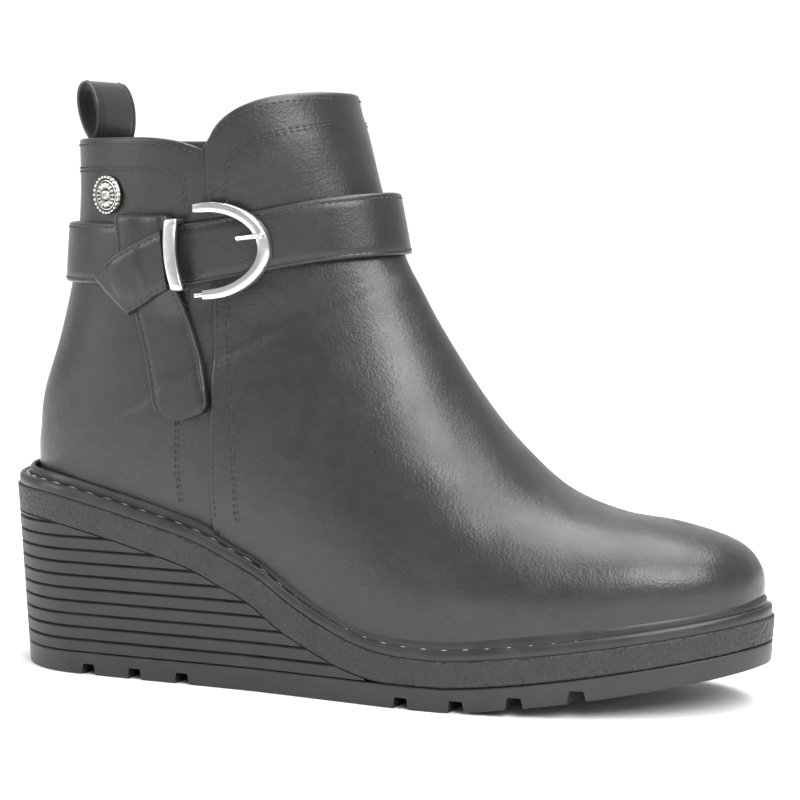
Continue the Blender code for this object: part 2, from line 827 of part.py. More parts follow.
class Surface:
    """Ray casts onto the outside of finished pieces."""

    def __init__(self, objects):
        graph = bpy.context.evaluated_depsgraph_get()
        self.trees = [BVHTree.FromObject(obj, graph) for obj in objects]

    def cast(self, start, direction):
        """Nearest hit of a ray on any of the pieces."""
        hits = [tree.ray_cast(start, direction)[0] for tree in self.trees]
        hits = [hit for hit in hits if hit is not None]
        return min(hits, key=lambda hit: (hit - start).length) if hits else None

    def side(self, x, z):
        """Outermost point on the outer side at x and z."""
        hit = self.cast(Vector((x, -2 * BALL_WIDTH, z)), Vector((0.0, 1.0, 0.0)))
        return Vector((x, 0.0, z)) if hit is None else hit

    def seat(self, x, z, reach=SEAT_REACH):
        """Where a piece rests that covers a small square around x and z on the outer side."""
        steps = [0.5 * reach * i for i in range(-2, 3)]
        return min(self.side(x + dx, z + dz).y for dx in steps for dz in steps) - GAP

    def reach(self, start, outward):
        """How far the surface lies beyond a point in the outward direction."""
        far = start + 2 * BALL_WIDTH * outward
        hit = self.cast(far, -outward)
        return 0.0 if hit is None else (hit - start).dot(outward)


def strap_height(x):
    """Height of the ankle strap's middle over x."""
    along = clamp((x - STRAP_RISE_START) / (STRAP_RISE_END - STRAP_RISE_START), 0.0, 1.0)
    return STRAP_BACK_HEIGHT + (STRAP_FRONT_HEIGHT - STRAP_BACK_HEIGHT) * along ** 1.3


def strap_station(share):
    """Middle point and outward direction at a share of the way around the ankle."""
    back = last_x(SECTIONS[-3][0])
    front = last_x(SECTIONS[-3][2])
    middle = 0.5 * (back + front)
    long_half = 0.5 * (front - back)
    short_half = 0.5 * SHAFT_WIDTH
    rear_end = math.acos(clamp((KNOT_X - 0.5 * STRAP_OPENING - middle) / long_half, -1.0, 1.0))
    front_end = math.acos(clamp((KNOT_X + 0.5 * STRAP_OPENING - middle) / long_half, -1.0, 1.0))
    angle = -rear_end - (2 * math.pi + front_end - rear_end) * share
    point = Vector((middle + long_half * math.cos(angle), short_half * math.sin(angle), 0.0))
    outward = Vector((math.cos(angle) / long_half, math.sin(angle) / short_half, 0.0)).normalized()
    point.z = strap_height(point.x)
    return point, outward


def strap_seat(surface, share):
    """How far the lower and the upper edge of the strap stand out at a share of the way around."""
    half = 0.5 * STRAP_WIDTH
    point, outward = strap_station(clamp(share, 0.0, 1.0))
    low, middle, high = (
        surface.reach(point + Vector((0.0, 0.0, height)), outward) for height in (-half, 0.0, half)
    )
    lean = 0.5 * (high - low)
    middle = max(middle, low + 0.5 * lean, high - 0.5 * lean)
    return middle - 0.5 * lean, middle + 0.5 * lean


def make_ankle_strap(surface):
    """Band around the ankle, with both ends under the knot on the outer side."""
    inner, outer = [], []
    for i in range(STRAP_STEPS + 1):
        point, outward = strap_station(i / STRAP_STEPS)
        seats = [strap_seat(surface, (i + k) / STRAP_STEPS) for k in (-0.5, 0.0, 0.5)]
        low = max(seat[0] for seat in seats) + STRAP_GAP
        high = max(seat[1] for seat in seats) + STRAP_GAP
        near, far = [], []
        for across, thick in BAND_COLUMNS:
            base = low + (high - low) * 0.5 * (1 + across)
            place = point + Vector((0.0, 0.0, 0.5 * across * STRAP_WIDTH))
            near.append(place + base * outward)
            far.append(place + (base + thick * STRAP_THICKNESS) * outward)
        inner.append(near)
        outer.append(far)
    return ribbon("ankle_strap", inner, outer)


def strip_row(left, right, depth_at, push):
    """One row across a strip between two places in x and z, its outer points pushed out."""
    near, far = [], []
    for across, thick in STRIP_COLUMNS:
        share = 0.5 * (1 + across)
        x = left[0] + (right[0] - left[0]) * share
        z = left[1] + (right[1] - left[1]) * share
        place = Vector((x, depth_at(x, z), z))
        near.append(place)
        far.append(place + thick * push)
    return near, far


def tail_edges(z, top):
    """Left and right edge of the tail at a height."""
    along = (top - z) / TAIL_LENGTH
    middle = KNOT_X + read_table(TAIL_ROWS, 1, along) * TAIL_WIDTH
    half = 0.5 * read_table(TAIL_ROWS, 2, along) * TAIL_WIDTH
    return (middle - half, z), (middle + half, z)


def make_strap_tail(surface):
    """Tail folded over the top of the band, passing down in front of it and hanging free."""
    band_low = strap_height(KNOT_X) - 0.5 * STRAP_WIDTH
    fold = strap_height(KNOT_X) + 0.5 * STRAP_WIDTH + HOOK_GAP
    top = fold + TAIL_THICKNESS
    out = Vector((0.0, -TAIL_THICKNESS, 0.0))
    up = Vector((0.0, 0.0, TAIL_THICKNESS))
    left, right = tail_edges(fold, top)

    def over_band(x, z):
        return surface.seat(x, z - HOOK_GAP - SEAT_REACH)

    rows = [
        strip_row(left, right, lambda x, z: surface.seat(x, z + TAIL_THICKNESS, 0.5 * HOOK_GAP), up),
        strip_row(left, right, over_band, 0.8 * (up + out)),
    ]
    heights = [fold - share * (fold - band_low) for share in (0.12, 0.4, 0.7, 1.0)]
    heights.append(band_low - 0.7 * SEAT_REACH)
    start, end = heights[-1], top - TAIL_LENGTH
    heights += [start + share * (end - start) for share in (0.16, 0.35, 0.55, 0.75, 0.87, 0.95, 0.985, 1.0)]
    for z in heights:
        left, right = tail_edges(z, top)
        rows.append(strip_row(left, right, over_band if z > band_low + SEAT_REACH else surface.seat, out))
    return ribbon("strap_tail", [row[0] for row in rows], [row[1] for row in rows])


def knot_place(x_share, z_share):
    return (KNOT_X + x_share * WRAP_LENGTH, strap_height(KNOT_X) + z_share * WRAP_WIDTH)


def make_strap_wrap(upper, surface):
    """Diagonal turn over the band and the tail, folded back at its lower end."""
    layers = STRAP_GAP + STRAP_THICKNESS + TAIL_THICKNESS + KNOT_SLACK
    out = Vector((0.0, -WRAP_THICKNESS, 0.0))

    def over_knot(x, z):
        return min(upper.seat(x, z) - layers, surface.seat(x, z, 1.5 * SEAT_REACH))

    edges = [(knot_place(row[2], row[3]), knot_place(row[0], row[1])) for row in WRAP_ROWS]
    rows = [strip_row(low, high, over_knot, out) for low, high in edges]
    low, high = edges[-1]
    back = Vector((low[1] - high[1], 0.0, high[0] - low[0])).normalized() * WRAP_THICKNESS
    rows.append(strip_row(low, high, over_knot, 0.8 * (back + out)))
    rows.append(strip_row(low, high, surface.seat, back))
    return ribbon("strap_wrap", [row[0] for row in rows], [row[1] for row in rows])


def bar_middle(share):
    """Middle of the bar's width in x at a share of its length from the bottom, beside the wrap's end."""
    lower, upper = knot_place(*WRAP_ROWS[0][2:]), knot_place(*WRAP_ROWS[0][:2])
    left = lower[0] + (upper[0] - lower[0]) * share + GAP + BAR_BULGE
    return left + 0.5 * BAR_WIDTH - BAR_BULGE * (1 - (2 * share - 1) ** 2)


def make_buckle_bar(upper, surface):
    """Bowed plate over the strap, with a short leg past each edge of the strap."""
    low = strap_height(KNOT_X) - 0.5 * BAR_LENGTH
    layers = STRAP_GAP + STRAP_THICKNESS + TAIL_THICKNESS + KNOT_SLACK
    steps = 6
    plate_low = low + BAR_THICKNESS
    plate_high = low + BAR_LENGTH - BAR_THICKNESS

    def row(share, z, y, push):
        near, far = [], []
        for across, thick in BAND_COLUMNS:
            x = bar_middle(share) + 0.5 * across * BAR_WIDTH
            near.append(Vector((x, y, z)))
            far.append(Vector((x, y, z)) + thick * push)
        return near, far

    def depth(share, z):
        x = bar_middle(share)
        return min(upper.seat(x, z, BAR_WIDTH) - layers, surface.seat(x, z, BAR_WIDTH))

    out = Vector((0.0, -BAR_THICKNESS, 0.0))
    down = Vector((0.0, 0.0, -BAR_THICKNESS))
    plate = [depth(i / steps, plate_low + (plate_high - plate_low) * i / steps) for i in range(steps + 1)]
    face = min(plate)
    rows = []
    leg = surface.seat(bar_middle(0.0), plate_low + 0.5 * down.z, 0.5 * BAR_WIDTH)
    rows.append(row(0.0, plate_low, min(leg, face - GAP), down))
    rows.append(row(0.0, plate_low, face, 0.8 * (down + out)))
    for i in range(1, steps):
        rows.append(row(i / steps, plate_low + (plate_high - plate_low) * i / steps, face, out))
    leg = surface.seat(bar_middle(1.0), plate_high - 0.5 * down.z, 0.5 * BAR_WIDTH)
    rows.append(row(1.0, plate_high, face, 0.8 * (out - down)))
    rows.append(row(1.0, plate_high, leg, -down))
    return ribbon("buckle_bar", [r[0] for r in rows], [r[1] for r in rows])


def frame_seat(surface, x):
    """Where the buckle frame rests on the strap over x."""
    heights = [strap_height(x) + share * STRAP_WIDTH for share in (-0.35, 0.0, 0.35)]
    return min(surface.seat(x, z) for z in heights)


def frame_rows():
    """Places on the middle of the frame, with the direction across its face and its width."""
    reach = FRAME_REACH - 0.5 * FRAME_FACE
    half = 0.5 * (FRAME_HEIGHT - FRAME_FACE)
    rows = [
        (-FRAME_ARM - TONGUE_LENGTH, -half, -0.5 * math.pi, 0.4),
        (-FRAME_ARM, -half, -0.5 * math.pi, 0.4),
        (-0.9 * FRAME_ARM, -half, -0.5 * math.pi, 0.9),
    ]
    for i in range(FRAME_STEPS + 1):
        angle = math.pi * (i / FRAME_STEPS - 0.5)
        rows.append((reach * math.cos(angle), half * math.sin(angle), angle, 1.0))
    rows.append((-FRAME_ARM, half, 0.5 * math.pi, 0.8))
    return rows


def make_buckle_frame(surface):
    """D-shaped frame resting on the strap and following its curve."""
    tilt = math.radians(FRAME_TILT)
    middle = KNOT_X + FRAME_OFFSET
    inner, outer = [], []
    for u, v, angle, width in frame_rows():
        normal = Vector((FRAME_HEIGHT * math.cos(angle), 2 * FRAME_REACH * math.sin(angle))).normalized()
        near, far = [], []
        for across, thick in BAND_COLUMNS:
            a = u + 0.5 * across * width * FRAME_FACE * normal.x
            b = v + 0.5 * across * width * FRAME_FACE * normal.y
            x = middle + a * math.cos(tilt) - b * math.sin(tilt)
            z = strap_height(middle) + a * math.sin(tilt) + b * math.cos(tilt)
            place = Vector((x, frame_seat(surface, x), z))
            near.append(place)
            far.append(place + Vector((0.0, -thick * FRAME_THICKNESS, 0.0)))
        inner.append(near)
        outer.append(far)
    return ribbon("buckle_frame", inner, outer)


def make_buckle_prong(surface):
    """Round prong that leaves the strap and lies across the frame's front side."""
    tip = KNOT_X + FRAME_OFFSET + FRAME_REACH - 0.5 * FRAME_FACE
    root = tip - PRONG_LENGTH
    radius = 0.5 * PRONG_DIAMETER
    bend = tip - FRAME_FACE
    over = frame_seat(surface, tip) - FRAME_THICKNESS - GAP - radius
    over = min(over, frame_seat(surface, bend) - FRAME_THICKNESS - GAP - radius)
    path = (
        (root, frame_seat(surface, root) - radius),
        (0.5 * (root + bend), 0.5 * (frame_seat(surface, root) - radius + over) - 0.3 * radius),
        (bend, over),
        (tip, over),
    )
    bm = bmesh.new()
    rings = []
    for x, y in path:
        z = strap_height(tip) + math.sin(math.radians(FRAME_TILT)) * (x - root)
        ring = []
        for i in range(PRONG_SIDES):
            angle = 2 * math.pi * (i + 0.5) / PRONG_SIDES
            ring.append(bm.verts.new((x, y + radius * math.cos(angle), z + radius * math.sin(angle))))
        rings.append(ring)
    for low, high in zip(rings, rings[1:]):
        for i in range(PRONG_SIDES):
            j = (i + 1) % PRONG_SIDES
            bm.faces.new((low[i], low[j], high[j], high[i]))
    bm.faces.new(rings[0])
    bm.faces.new(rings[-1])
    return make_object("buckle_prong", bm)


def make_ornament(upper):
    """Round rosette on the rear quarter, with a scalloped rim, petals and a boss."""
    radius = 0.5 * ORNAMENT_DIAMETER
    centre = upper.side(ORNAMENT_X, ORNAMENT_Z)
    along = upper.side(ORNAMENT_X + radius, ORNAMENT_Z) - upper.side(ORNAMENT_X - radius, ORNAMENT_Z)
    rise = upper.side(ORNAMENT_X, ORNAMENT_Z + radius) - upper.side(ORNAMENT_X, ORNAMENT_Z - radius)
    outward = along.cross(rise).normalized()
    along = rise.cross(outward).normalized()
    rise = outward.cross(along)
    stand = 0.0
    for i in range(16):
        angle = math.pi * i / 8
        for share in (0.5, 1.0):
            x = ORNAMENT_X + share * radius * math.cos(angle)
            z = ORNAMENT_Z + share * radius * math.sin(angle)
            stand = max(stand, (upper.side(x, z) - centre).dot(outward))
    bm = bmesh.new()
    rings = []
    count = 2 * ORNAMENT_LOBES
    for lobe_radius, gap_radius, lobe_height, gap_height in ORNAMENT_RINGS:
        ring = []
        for i in range(count):
            angle = 2 * math.pi * i / count
            far, high = (gap_radius, gap_height) if i % 2 else (lobe_radius, lobe_height)
            spoke = math.cos(angle) * along + math.sin(angle) * rise
            lift = stand + GAP + high * ORNAMENT_HEIGHT
            ring.append(bm.verts.new(centre + far * radius * spoke + lift * outward))
        rings.append(ring)
    for low, high in zip(rings, rings[1:]):
        for i in range(count):
            j = (i + 1) % count
            bm.faces.new((low[i], low[j], high[j], high[i]))
    bm.faces.new(rings[0])
    bm.faces.new(rings[-1])
    return make_object("ornament", bm)


def loop_path(rear):
    """Side view of the loop, from the foot of its rear leg over the top to the foot of its front leg."""
    pitch = 0.5 * (LOOP_THICKNESS + GAP)
    middle = rear + 0.5 * LOOP_THICKNESS + pitch
    base = COLLAR_BACK_HEIGHT + GAP
    swell = 0.55 * (LOOP_DEPTH - LOOP_THICKNESS)
    height = LOOP_HEIGHT - 0.5 * LOOP_THICKNESS
    path = [(middle - pitch, base - LOOP_TAB)]
    for i in range(LOOP_STEPS + 1):
        angle = 2 * math.pi * i / LOOP_STEPS
        share = 0.5 * (1 - math.cos(angle))
        half = pitch * math.cos(0.5 * angle) + swell * math.sin(angle) * share ** 0.25
        path.append((middle - LOOP_LEAN * share - half, base + height * share))
    path.append((middle + pitch, base - LOOP_TAB))
    return path


def make_pull_loop(upper):
    """Folded leather loop standing inside the back of the collar, open from side to side."""
    half = 0.5 * LOOP_WIDTH
    centre = 0.5 * last_x(SECTIONS[-2][2])
    rear = 0.0
    for share in (-1.0, 0.0, 1.0):
        for depth in (GAP, 0.5 * LOOP_TAB, LOOP_TAB):
            start = Vector((centre, share * half, COLLAR_BACK_HEIGHT - depth))
            hit = upper.cast(start, Vector((-1.0, 0.0, 0.0)))
            rear = max(rear, hit.x) if hit is not None else rear
    path = loop_path(rear + GAP)
    inner, outer = [], []
    for i, (x, z) in enumerate(path):
        ahead = path[min(i + 1, len(path) - 1)]
        behind = path[max(i - 1, 0)]
        normal = Vector((behind[1] - ahead[1], 0.0, ahead[0] - behind[0])).normalized()
        place = Vector((x, 0.0, z))
        near, far = [], []
        for across, thick in BAND_COLUMNS:
            side = Vector((0.0, across * half, 0.0))
            near.append(place + side - 0.5 * LOOP_THICKNESS * normal)
            far.append(place + side + (thick - 0.5) * LOOP_THICKNESS * normal)
        inner.append(near)
        outer.append(far)
    return ribbon("pull_loop", inner, outer)


def add_material(name, color, roughness, metallic=0.0):
    material = bpy.data.materials.new(name)
    material.use_nodes = True
    shader = material.node_tree.nodes["Principled BSDF"]
    shader.inputs["Base Color"].default_value = (*color, 1.0)
    shader.inputs["Roughness"].default_value = roughness
    shader.inputs["Metallic"].default_value = metallic
    return material


def clear_scene():
    for obj in list(bpy.data.objects):
        bpy.data.objects.remove(obj, do_unlink=True)


def centre_model(objects):
    """Move everything so that the middle of the model's box stands over the origin."""
    graph = bpy.context.evaluated_depsgraph_get()
    corners = []
    for obj in objects:
        if not obj.hide_render:
            shape = obj.evaluated_get(graph)
            corners += [shape.matrix_world @ Vector(corner) for corner in shape.bound_box]
    for axis in (0, 1):
        middle = 0.5 * (min(c[axis] for c in corners) + max(c[axis] for c in corners))
        for obj in objects:
            obj.location[axis] -= middle


BLACK_RUBBER = (0.022, 0.022, 0.022)
BLACK_LEATHER = (0.012, 0.012, 0.012)
LINING_LEATHER = (0.050, 0.045, 0.040)
POLISHED_METAL = (0.720, 0.715, 0.700)
AGED_METAL = (0.520, 0.510, 0.490)


def main():
    clear_scene()
    finish(make_outsole(), add_material("outsole_rubber", BLACK_RUBBER, 0.50))
    finish(make_wedge(), add_material("wedge_rubber", BLACK_RUBBER, 0.52), 20.0)
    finish(make_midsole(), add_material("midsole_rubber", BLACK_RUBBER, 0.60))
    finish(make_welt(), add_material("welt_rubber", BLACK_RUBBER, 0.48))
    finish(make_insole(), add_material("insole_leather", LINING_LEATHER, 0.70))
    upper_piece = make_upper()
    finish(upper_piece, add_material("upper_leather", BLACK_LEATHER, 0.38))
    upper = Surface([upper_piece])
    strap = make_ankle_strap(upper)
    finish(strap, add_material("strap_leather", BLACK_LEATHER, 0.40))
    tail = make_strap_tail(Surface([upper_piece, strap]))
    finish(tail, add_material("tail_leather", BLACK_LEATHER, 0.40))
    knot = Surface([upper_piece, strap, tail])
    finish(make_strap_wrap(upper, knot), add_material("wrap_leather", BLACK_LEATHER, 0.40))
    finish(make_buckle_bar(upper, knot), add_material("bar_metal", POLISHED_METAL, 0.15, 1.0))
    band = Surface([upper_piece, strap])
    finish(make_buckle_frame(band), add_material("frame_metal", POLISHED_METAL, 0.15, 1.0))
    finish(make_buckle_prong(band), add_material("prong_metal", POLISHED_METAL, 0.18, 1.0))
    finish(make_ornament(upper), add_material("ornament_metal", AGED_METAL, 0.30, 1.0))
    finish(make_pull_loop(upper), add_material("loop_leather", BLACK_LEATHER, 0.42))
    centre_model(list(bpy.context.scene.objects))


main()
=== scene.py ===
"""Looks of the ankle boot: fine leather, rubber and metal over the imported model.

Shapes are worked out in the boot's own frame, with x from the sole's rear, y toward the inner side and z from
the floor, by the same rules as the solids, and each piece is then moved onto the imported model.
"""

import math

import bmesh
import bpy
import numpy as np
from mathutils import Matrix, Vector
from mathutils.bvhtree import BVHTree

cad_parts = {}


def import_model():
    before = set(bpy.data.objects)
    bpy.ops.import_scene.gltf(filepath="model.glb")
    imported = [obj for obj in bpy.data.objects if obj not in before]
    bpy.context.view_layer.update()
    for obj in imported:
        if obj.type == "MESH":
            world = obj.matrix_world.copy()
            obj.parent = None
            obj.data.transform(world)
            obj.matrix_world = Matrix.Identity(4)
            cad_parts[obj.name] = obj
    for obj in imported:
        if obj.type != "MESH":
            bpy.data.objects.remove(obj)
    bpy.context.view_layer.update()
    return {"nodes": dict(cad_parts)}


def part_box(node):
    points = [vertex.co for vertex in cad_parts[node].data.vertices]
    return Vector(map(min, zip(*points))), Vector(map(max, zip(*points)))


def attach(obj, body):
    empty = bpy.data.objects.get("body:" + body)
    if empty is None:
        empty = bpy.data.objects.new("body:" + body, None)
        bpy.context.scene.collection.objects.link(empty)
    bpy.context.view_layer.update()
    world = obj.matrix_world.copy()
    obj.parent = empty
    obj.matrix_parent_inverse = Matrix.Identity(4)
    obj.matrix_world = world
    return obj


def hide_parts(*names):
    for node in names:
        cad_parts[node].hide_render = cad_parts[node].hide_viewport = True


# Driving sizes of the sole
SOLE_LENGTH = 0.262
BALL_WIDTH = 0.086
HEEL_WIDTH = 0.066
HEEL_STACK = 0.0633
FOREFOOT_STACK = 0.0165
TOE_SPRING = 0.014
OUTSOLE_THICKNESS = 0.0076
MIDSOLE_THICKNESS = 0.0094
SIDE_FLARE = 0.0036
GROOVE_PITCH = 0.00445
GROOVE_DEPTH = 0.0009
GROOVE_WIDTH = 0.0011
NOTCH_WIDTH = 0.0042
NOTCH_HEIGHT = 0.0038
HEEL_NOTCH_PITCH = 0.0183
FOREFOOT_NOTCH_PITCH = 0.0188
HEEL_NOTCH_START = 0.039
FOREFOOT_NOTCH_START = 0.158
NOTCH_SPREAD = 1.35
WEDGE_EDGE = 0.0012

# Driving sizes of the welt and the insole
WELT_HEIGHT = 0.0065
FLANGE_HEIGHT = 0.0038
FLANGE_SETBACK = 0.0009
BEAD_WIDTH = 0.0018

# Driving sizes of the upper
UPPER_INSET = 0.0036
UPPER_WALL = 0.002
COLLAR_BACK_HEIGHT = 0.182
COLLAR_FRONT_HEIGHT = 0.1968
COLLAR_NOTCH_DEPTH = 0.0045
SHAFT_WIDTH = 0.074
PANEL_STEP = 0.0012
BACKSTAY_STEP = 0.0008
BACKSTAY_WIDTH = 0.011
PANEL_SEAM_X = 0.0875

# Driving sizes of the ankle strap
STRAP_WIDTH = 0.0205
STRAP_THICKNESS = 0.0017
STRAP_BACK_HEIGHT = 0.1437
STRAP_FRONT_HEIGHT = 0.1562
STRAP_RISE_START = 0.080
STRAP_RISE_END = 0.134
STRAP_OPENING = 0.004

# Driving sizes of the knotted tail and its wrap
KNOT_X = 0.0645
TAIL_LENGTH = 0.0675
TAIL_WIDTH = 0.0208
TAIL_THICKNESS = 0.0018
WRAP_LENGTH = 0.029
WRAP_WIDTH = 0.0195
WRAP_THICKNESS = 0.0019

# Driving sizes of the pull loop
LOOP_WIDTH = 0.0246
LOOP_HEIGHT = 0.0199
LOOP_DEPTH = 0.0083
LOOP_THICKNESS = 0.0013
LOOP_TAB = 0.013
LOOP_LEAN = 0.0030

# Driving sizes of the buckle
BAR_LENGTH = 0.0238
BAR_WIDTH = 0.0047
BAR_THICKNESS = 0.0016
BAR_BULGE = 0.0013
FRAME_OFFSET = 0.0252
FRAME_HEIGHT = 0.0320
FRAME_REACH = 0.0203
FRAME_FACE = 0.0038
FRAME_THICKNESS = 0.0026
FRAME_TILT = 6.0
FRAME_ARM = 0.0032
TONGUE_LENGTH = 0.0026
PRONG_LENGTH = 0.0093
PRONG_DIAMETER = 0.0019

# Driving sizes of the round ornament
ORNAMENT_DIAMETER = 0.0129
ORNAMENT_HEIGHT = 0.0022
ORNAMENT_X = 0.0499
ORNAMENT_Z = 0.1631

# Clearances between touching pieces
GAP = 0.0003
UPPER_GAP = 0.0009
STRAP_GAP = 0.0004
HOOK_GAP = 0.0009
KNOT_SLACK = 0.0008
SEAT_REACH = 0.003

# Mesh resolution
HEEL_STEPS = 22
SIDE_STEPS = 60
TOE_STEPS = 26
STRAP_STEPS = 150
FRAME_STEPS = 48
LOOP_STEPS = 48

# Plan of the sole: share of the length, centre line as a share of the ball width,
# and how far the width has passed from the heel's to the ball's
PLAN = (
    # along, centre, widening
    (0.00, 0.000, 0.00),
    (0.23, 0.000, 0.03),
    (0.38, 0.009, 0.09),
    (0.50, 0.023, 0.41),
    (0.61, 0.050, 0.83),
    (0.70, 0.086, 0.98),
    (0.80, 0.128, 1.00),
    (0.90, 0.168, 1.00),
    (1.00, 0.196, 1.00),
)

# Top of the midsole: share of the length, share of the drop from heel to forefoot
FOOT_LINE = (
    # along, height
    (0.00, 1.000),
    (0.09, 0.975),
    (0.16, 0.900),
    (0.23, 0.810),
    (0.31, 0.690),
    (0.36, 0.570),
    (0.40, 0.465),
    (0.45, 0.285),
    (0.51, 0.120),
    (0.55, 0.045),
    (0.60, 0.004),
    (0.70, 0.000),
    (1.00, 0.000),
)
SPRING_START = 0.655
SPRING_POWER = 1.25
SPRING_THINNING = 0.0015
TOE_START = 0.70
TOE_CLOSE = 0.695
HEEL_ARC = 0.5


# Sections of the last from the toe to above the collar. Each is a slanted plane from a foot point on
# the midsole or the back line to a front point on the vamp, the instep or the shaft.
SECTIONS = (
    # foot, climb, front, rise, width, widest, fullness, ridge
    (1.0000, 0.000, 1.0030, 0.056, 0.950, 0.30, 2.3, 0.195),
    (0.9830, 0.000, 0.9960, 0.099, 0.950, 0.30, 2.3, 0.190),
    (0.9395, 0.000, 0.9640, 0.147, 0.950, 0.30, 2.3, 0.178),
    (0.8730, 0.000, 0.8930, 0.190, 0.950, 0.30, 2.3, 0.152),
    (0.7900, 0.000, 0.8120, 0.220, 0.950, 0.30, 2.3, 0.126),
    (0.6920, 0.000, 0.7430, 0.272, 0.953, 0.30, 2.2, 0.092),
    (0.5745, 0.000, 0.6890, 0.352, 0.957, 0.31, 2.1, 0.062),
    (0.4370, 0.000, 0.6420, 0.440, 0.924, 0.33, 2.0, 0.040),
    (0.2920, 0.000, 0.6060, 0.520, 0.900, 0.35, 2.0, 0.023),
    (0.1510, 0.000, 0.5770, 0.588, 0.903, 0.37, 2.0, 0.011),
    (0.0410, 0.000, 0.5570, 0.642, 0.920, 0.38, 2.0, 0.000),
    (0.0000, 0.000, 0.5450, 0.670, 0.914, 0.38, 2.0, 0.000),
    (0.0030, 0.140, 0.5315, 0.707, 0.914, 0.39, 2.0, 0.000),
    (0.0110, 0.250, 0.5180, 0.745, 0.914, 0.40, 2.0, 0.000),
    (0.0380, 0.410, 0.5040, 0.793, 0.920, 0.42, 2.1, 0.000),
    (0.0640, 0.612, 0.4910, 0.849, 0.950, 0.44, 2.1, 0.000),
    (0.0765, 0.815, 0.4780, 0.911, 0.985, 0.46, 2.1, 0.000),
    (0.0780, 1.025, 0.4600, 0.993, 1.010, 0.47, 2.1, 0.000),
    (0.0780, 1.250, 0.4480, 1.120, 1.020, 0.48, 2.1, 0.000),
)
BACK_FULLNESS = 2.1
FIRST_SHAFT_SECTION = 11
BALL_SHARE = 0.692

# Collar seen from the outer side: share of the way from back line to seam or from seam to front,
# and share of the drop from the rear collar to the notch, or of the rise from there to the front
COLLAR_REAR = (
    # along, drop
    (-1.0, 0.0),
    (0.60, 0.0),
    (0.75, 0.1),
    (0.88, 0.4),
    (1.00, 1.0),
)
COLLAR_FRONT = (
    # along, rise
    (0.00, 0.00),
    (0.04, 0.22),
    (0.10, 0.40),
    (0.18, 0.55),
    (0.32, 0.72),
    (0.54, 0.88),
    (0.80, 0.97),
    (1.00, 1.00),
    (2.00, 1.00),
)


# Tail of the strap: share of its length from the fold, sideways shift and width as shares of its width
TAIL_ROWS = (
    # along, shift, width
    (0.00, 0.000, 1.01),
    (0.08, 0.024, 0.96),
    (0.18, 0.034, 0.90),
    (0.39, 0.178, 0.93),
    (0.50, 0.267, 0.94),
    (0.66, 0.416, 0.98),
    (0.81, 0.526, 1.02),
    (0.90, 0.590, 1.03),
    (0.95, 0.600, 0.92),
    (0.98, 0.570, 0.64),
    (1.00, 0.530, 0.26),
)

# Diagonal wrap from the bar to its fold: upper and lower edge from the knot's middle, the x columns as
# shares of the wrap's length and the z columns as shares of its width
WRAP_ROWS = (
    # upper_x, upper_z, lower_x, lower_z
    (0.320, 0.408, 0.390, -0.592),
    (0.103, 0.272, 0.240, -0.700),
    (-0.117, 0.126, 0.076, -0.838),
    (-0.421, -0.115, -0.059, -0.954),
    (-0.603, -0.318, -0.114, -0.985),
)

# Details of the looks
BALL_COLUMN = 5 / 11
ROLL_STEPS = 8
THREAD_RADIUS = 0.00032
STITCH_PITCH = 0.0023
STITCH_LENGTH = 0.0016
STITCH_MARGIN = 0.0016
WELT_STITCH_PITCH = 0.0070
WELT_STITCH_LENGTH = 0.0053
WELT_THREAD_RADIUS = 0.00048
WELT_THREAD_SINK = 0.0006
LINING_GAP = 0.0001
OUTSOLE_BEVEL = 0.0007
BAND_BEVEL = 0.0005
GROOVE_LIP = 0.00045
FLANGE_EDGE = 0.0009
CHANNEL_DEPTH = 0.0009

# A stitch along its length: place, width share and how far it stands out in thread radii
STITCH_FORM = ((-0.5, 0.35, -0.7), (-0.36, 0.85, 0.0), (0.0, 1.0, 0.35), (0.36, 0.85, 0.0), (0.5, 0.35, -0.7))

# Columns across a finished strap: share of its half width, share of its thickness, with a stitch channel
ROUND_COLUMNS = (
    # across, thickness
    (-1.000, 0.25),
    (-0.990, 0.60),
    (-0.960, 0.90),
    (-0.920, 1.00),
    (-0.865, 0.99),
    (-0.835, 0.90),
    (-0.805, 0.99),
    (-0.600, 1.00),
    (-0.300, 1.02),
    (0.000, 1.03),
    (0.300, 1.02),
    (0.600, 1.00),
    (0.805, 0.99),
    (0.835, 0.90),
    (0.865, 0.99),
    (0.920, 1.00),
    (0.960, 0.90),
    (0.990, 0.60),
    (1.000, 0.25),
)

METAL_COLUMNS = (
    # across, thickness
    (-1.00, 0.00),
    (-0.99, 0.40),
    (-0.93, 0.70),
    (-0.78, 0.90),
    (-0.50, 0.98),
    (0.00, 1.00),
    (0.50, 0.98),
    (0.78, 0.90),
    (0.93, 0.70),
    (0.99, 0.40),
    (1.00, 0.00),
)

# Creases of the vamp, from one place to another on the side: x and z of both ends, width and depth
CREASES = (
    # start_x, start_z, end_x, end_z, width, depth
    (0.150, 0.052, 0.178, 0.042, 0.0045, 0.00035),
    (0.157, 0.064, 0.186, 0.050, 0.0040, 0.00028),
    (0.146, 0.075, 0.168, 0.066, 0.0050, 0.00025),
    (0.168, 0.036, 0.190, 0.031, 0.0035, 0.00022),
    (0.128, 0.092, 0.150, 0.084, 0.0060, 0.00022),
    (0.096, 0.122, 0.118, 0.128, 0.0070, 0.00025),
    (0.100, 0.108, 0.125, 0.112, 0.0060, 0.00020),
    (0.030, 0.100, 0.060, 0.106, 0.0080, 0.00025),
)

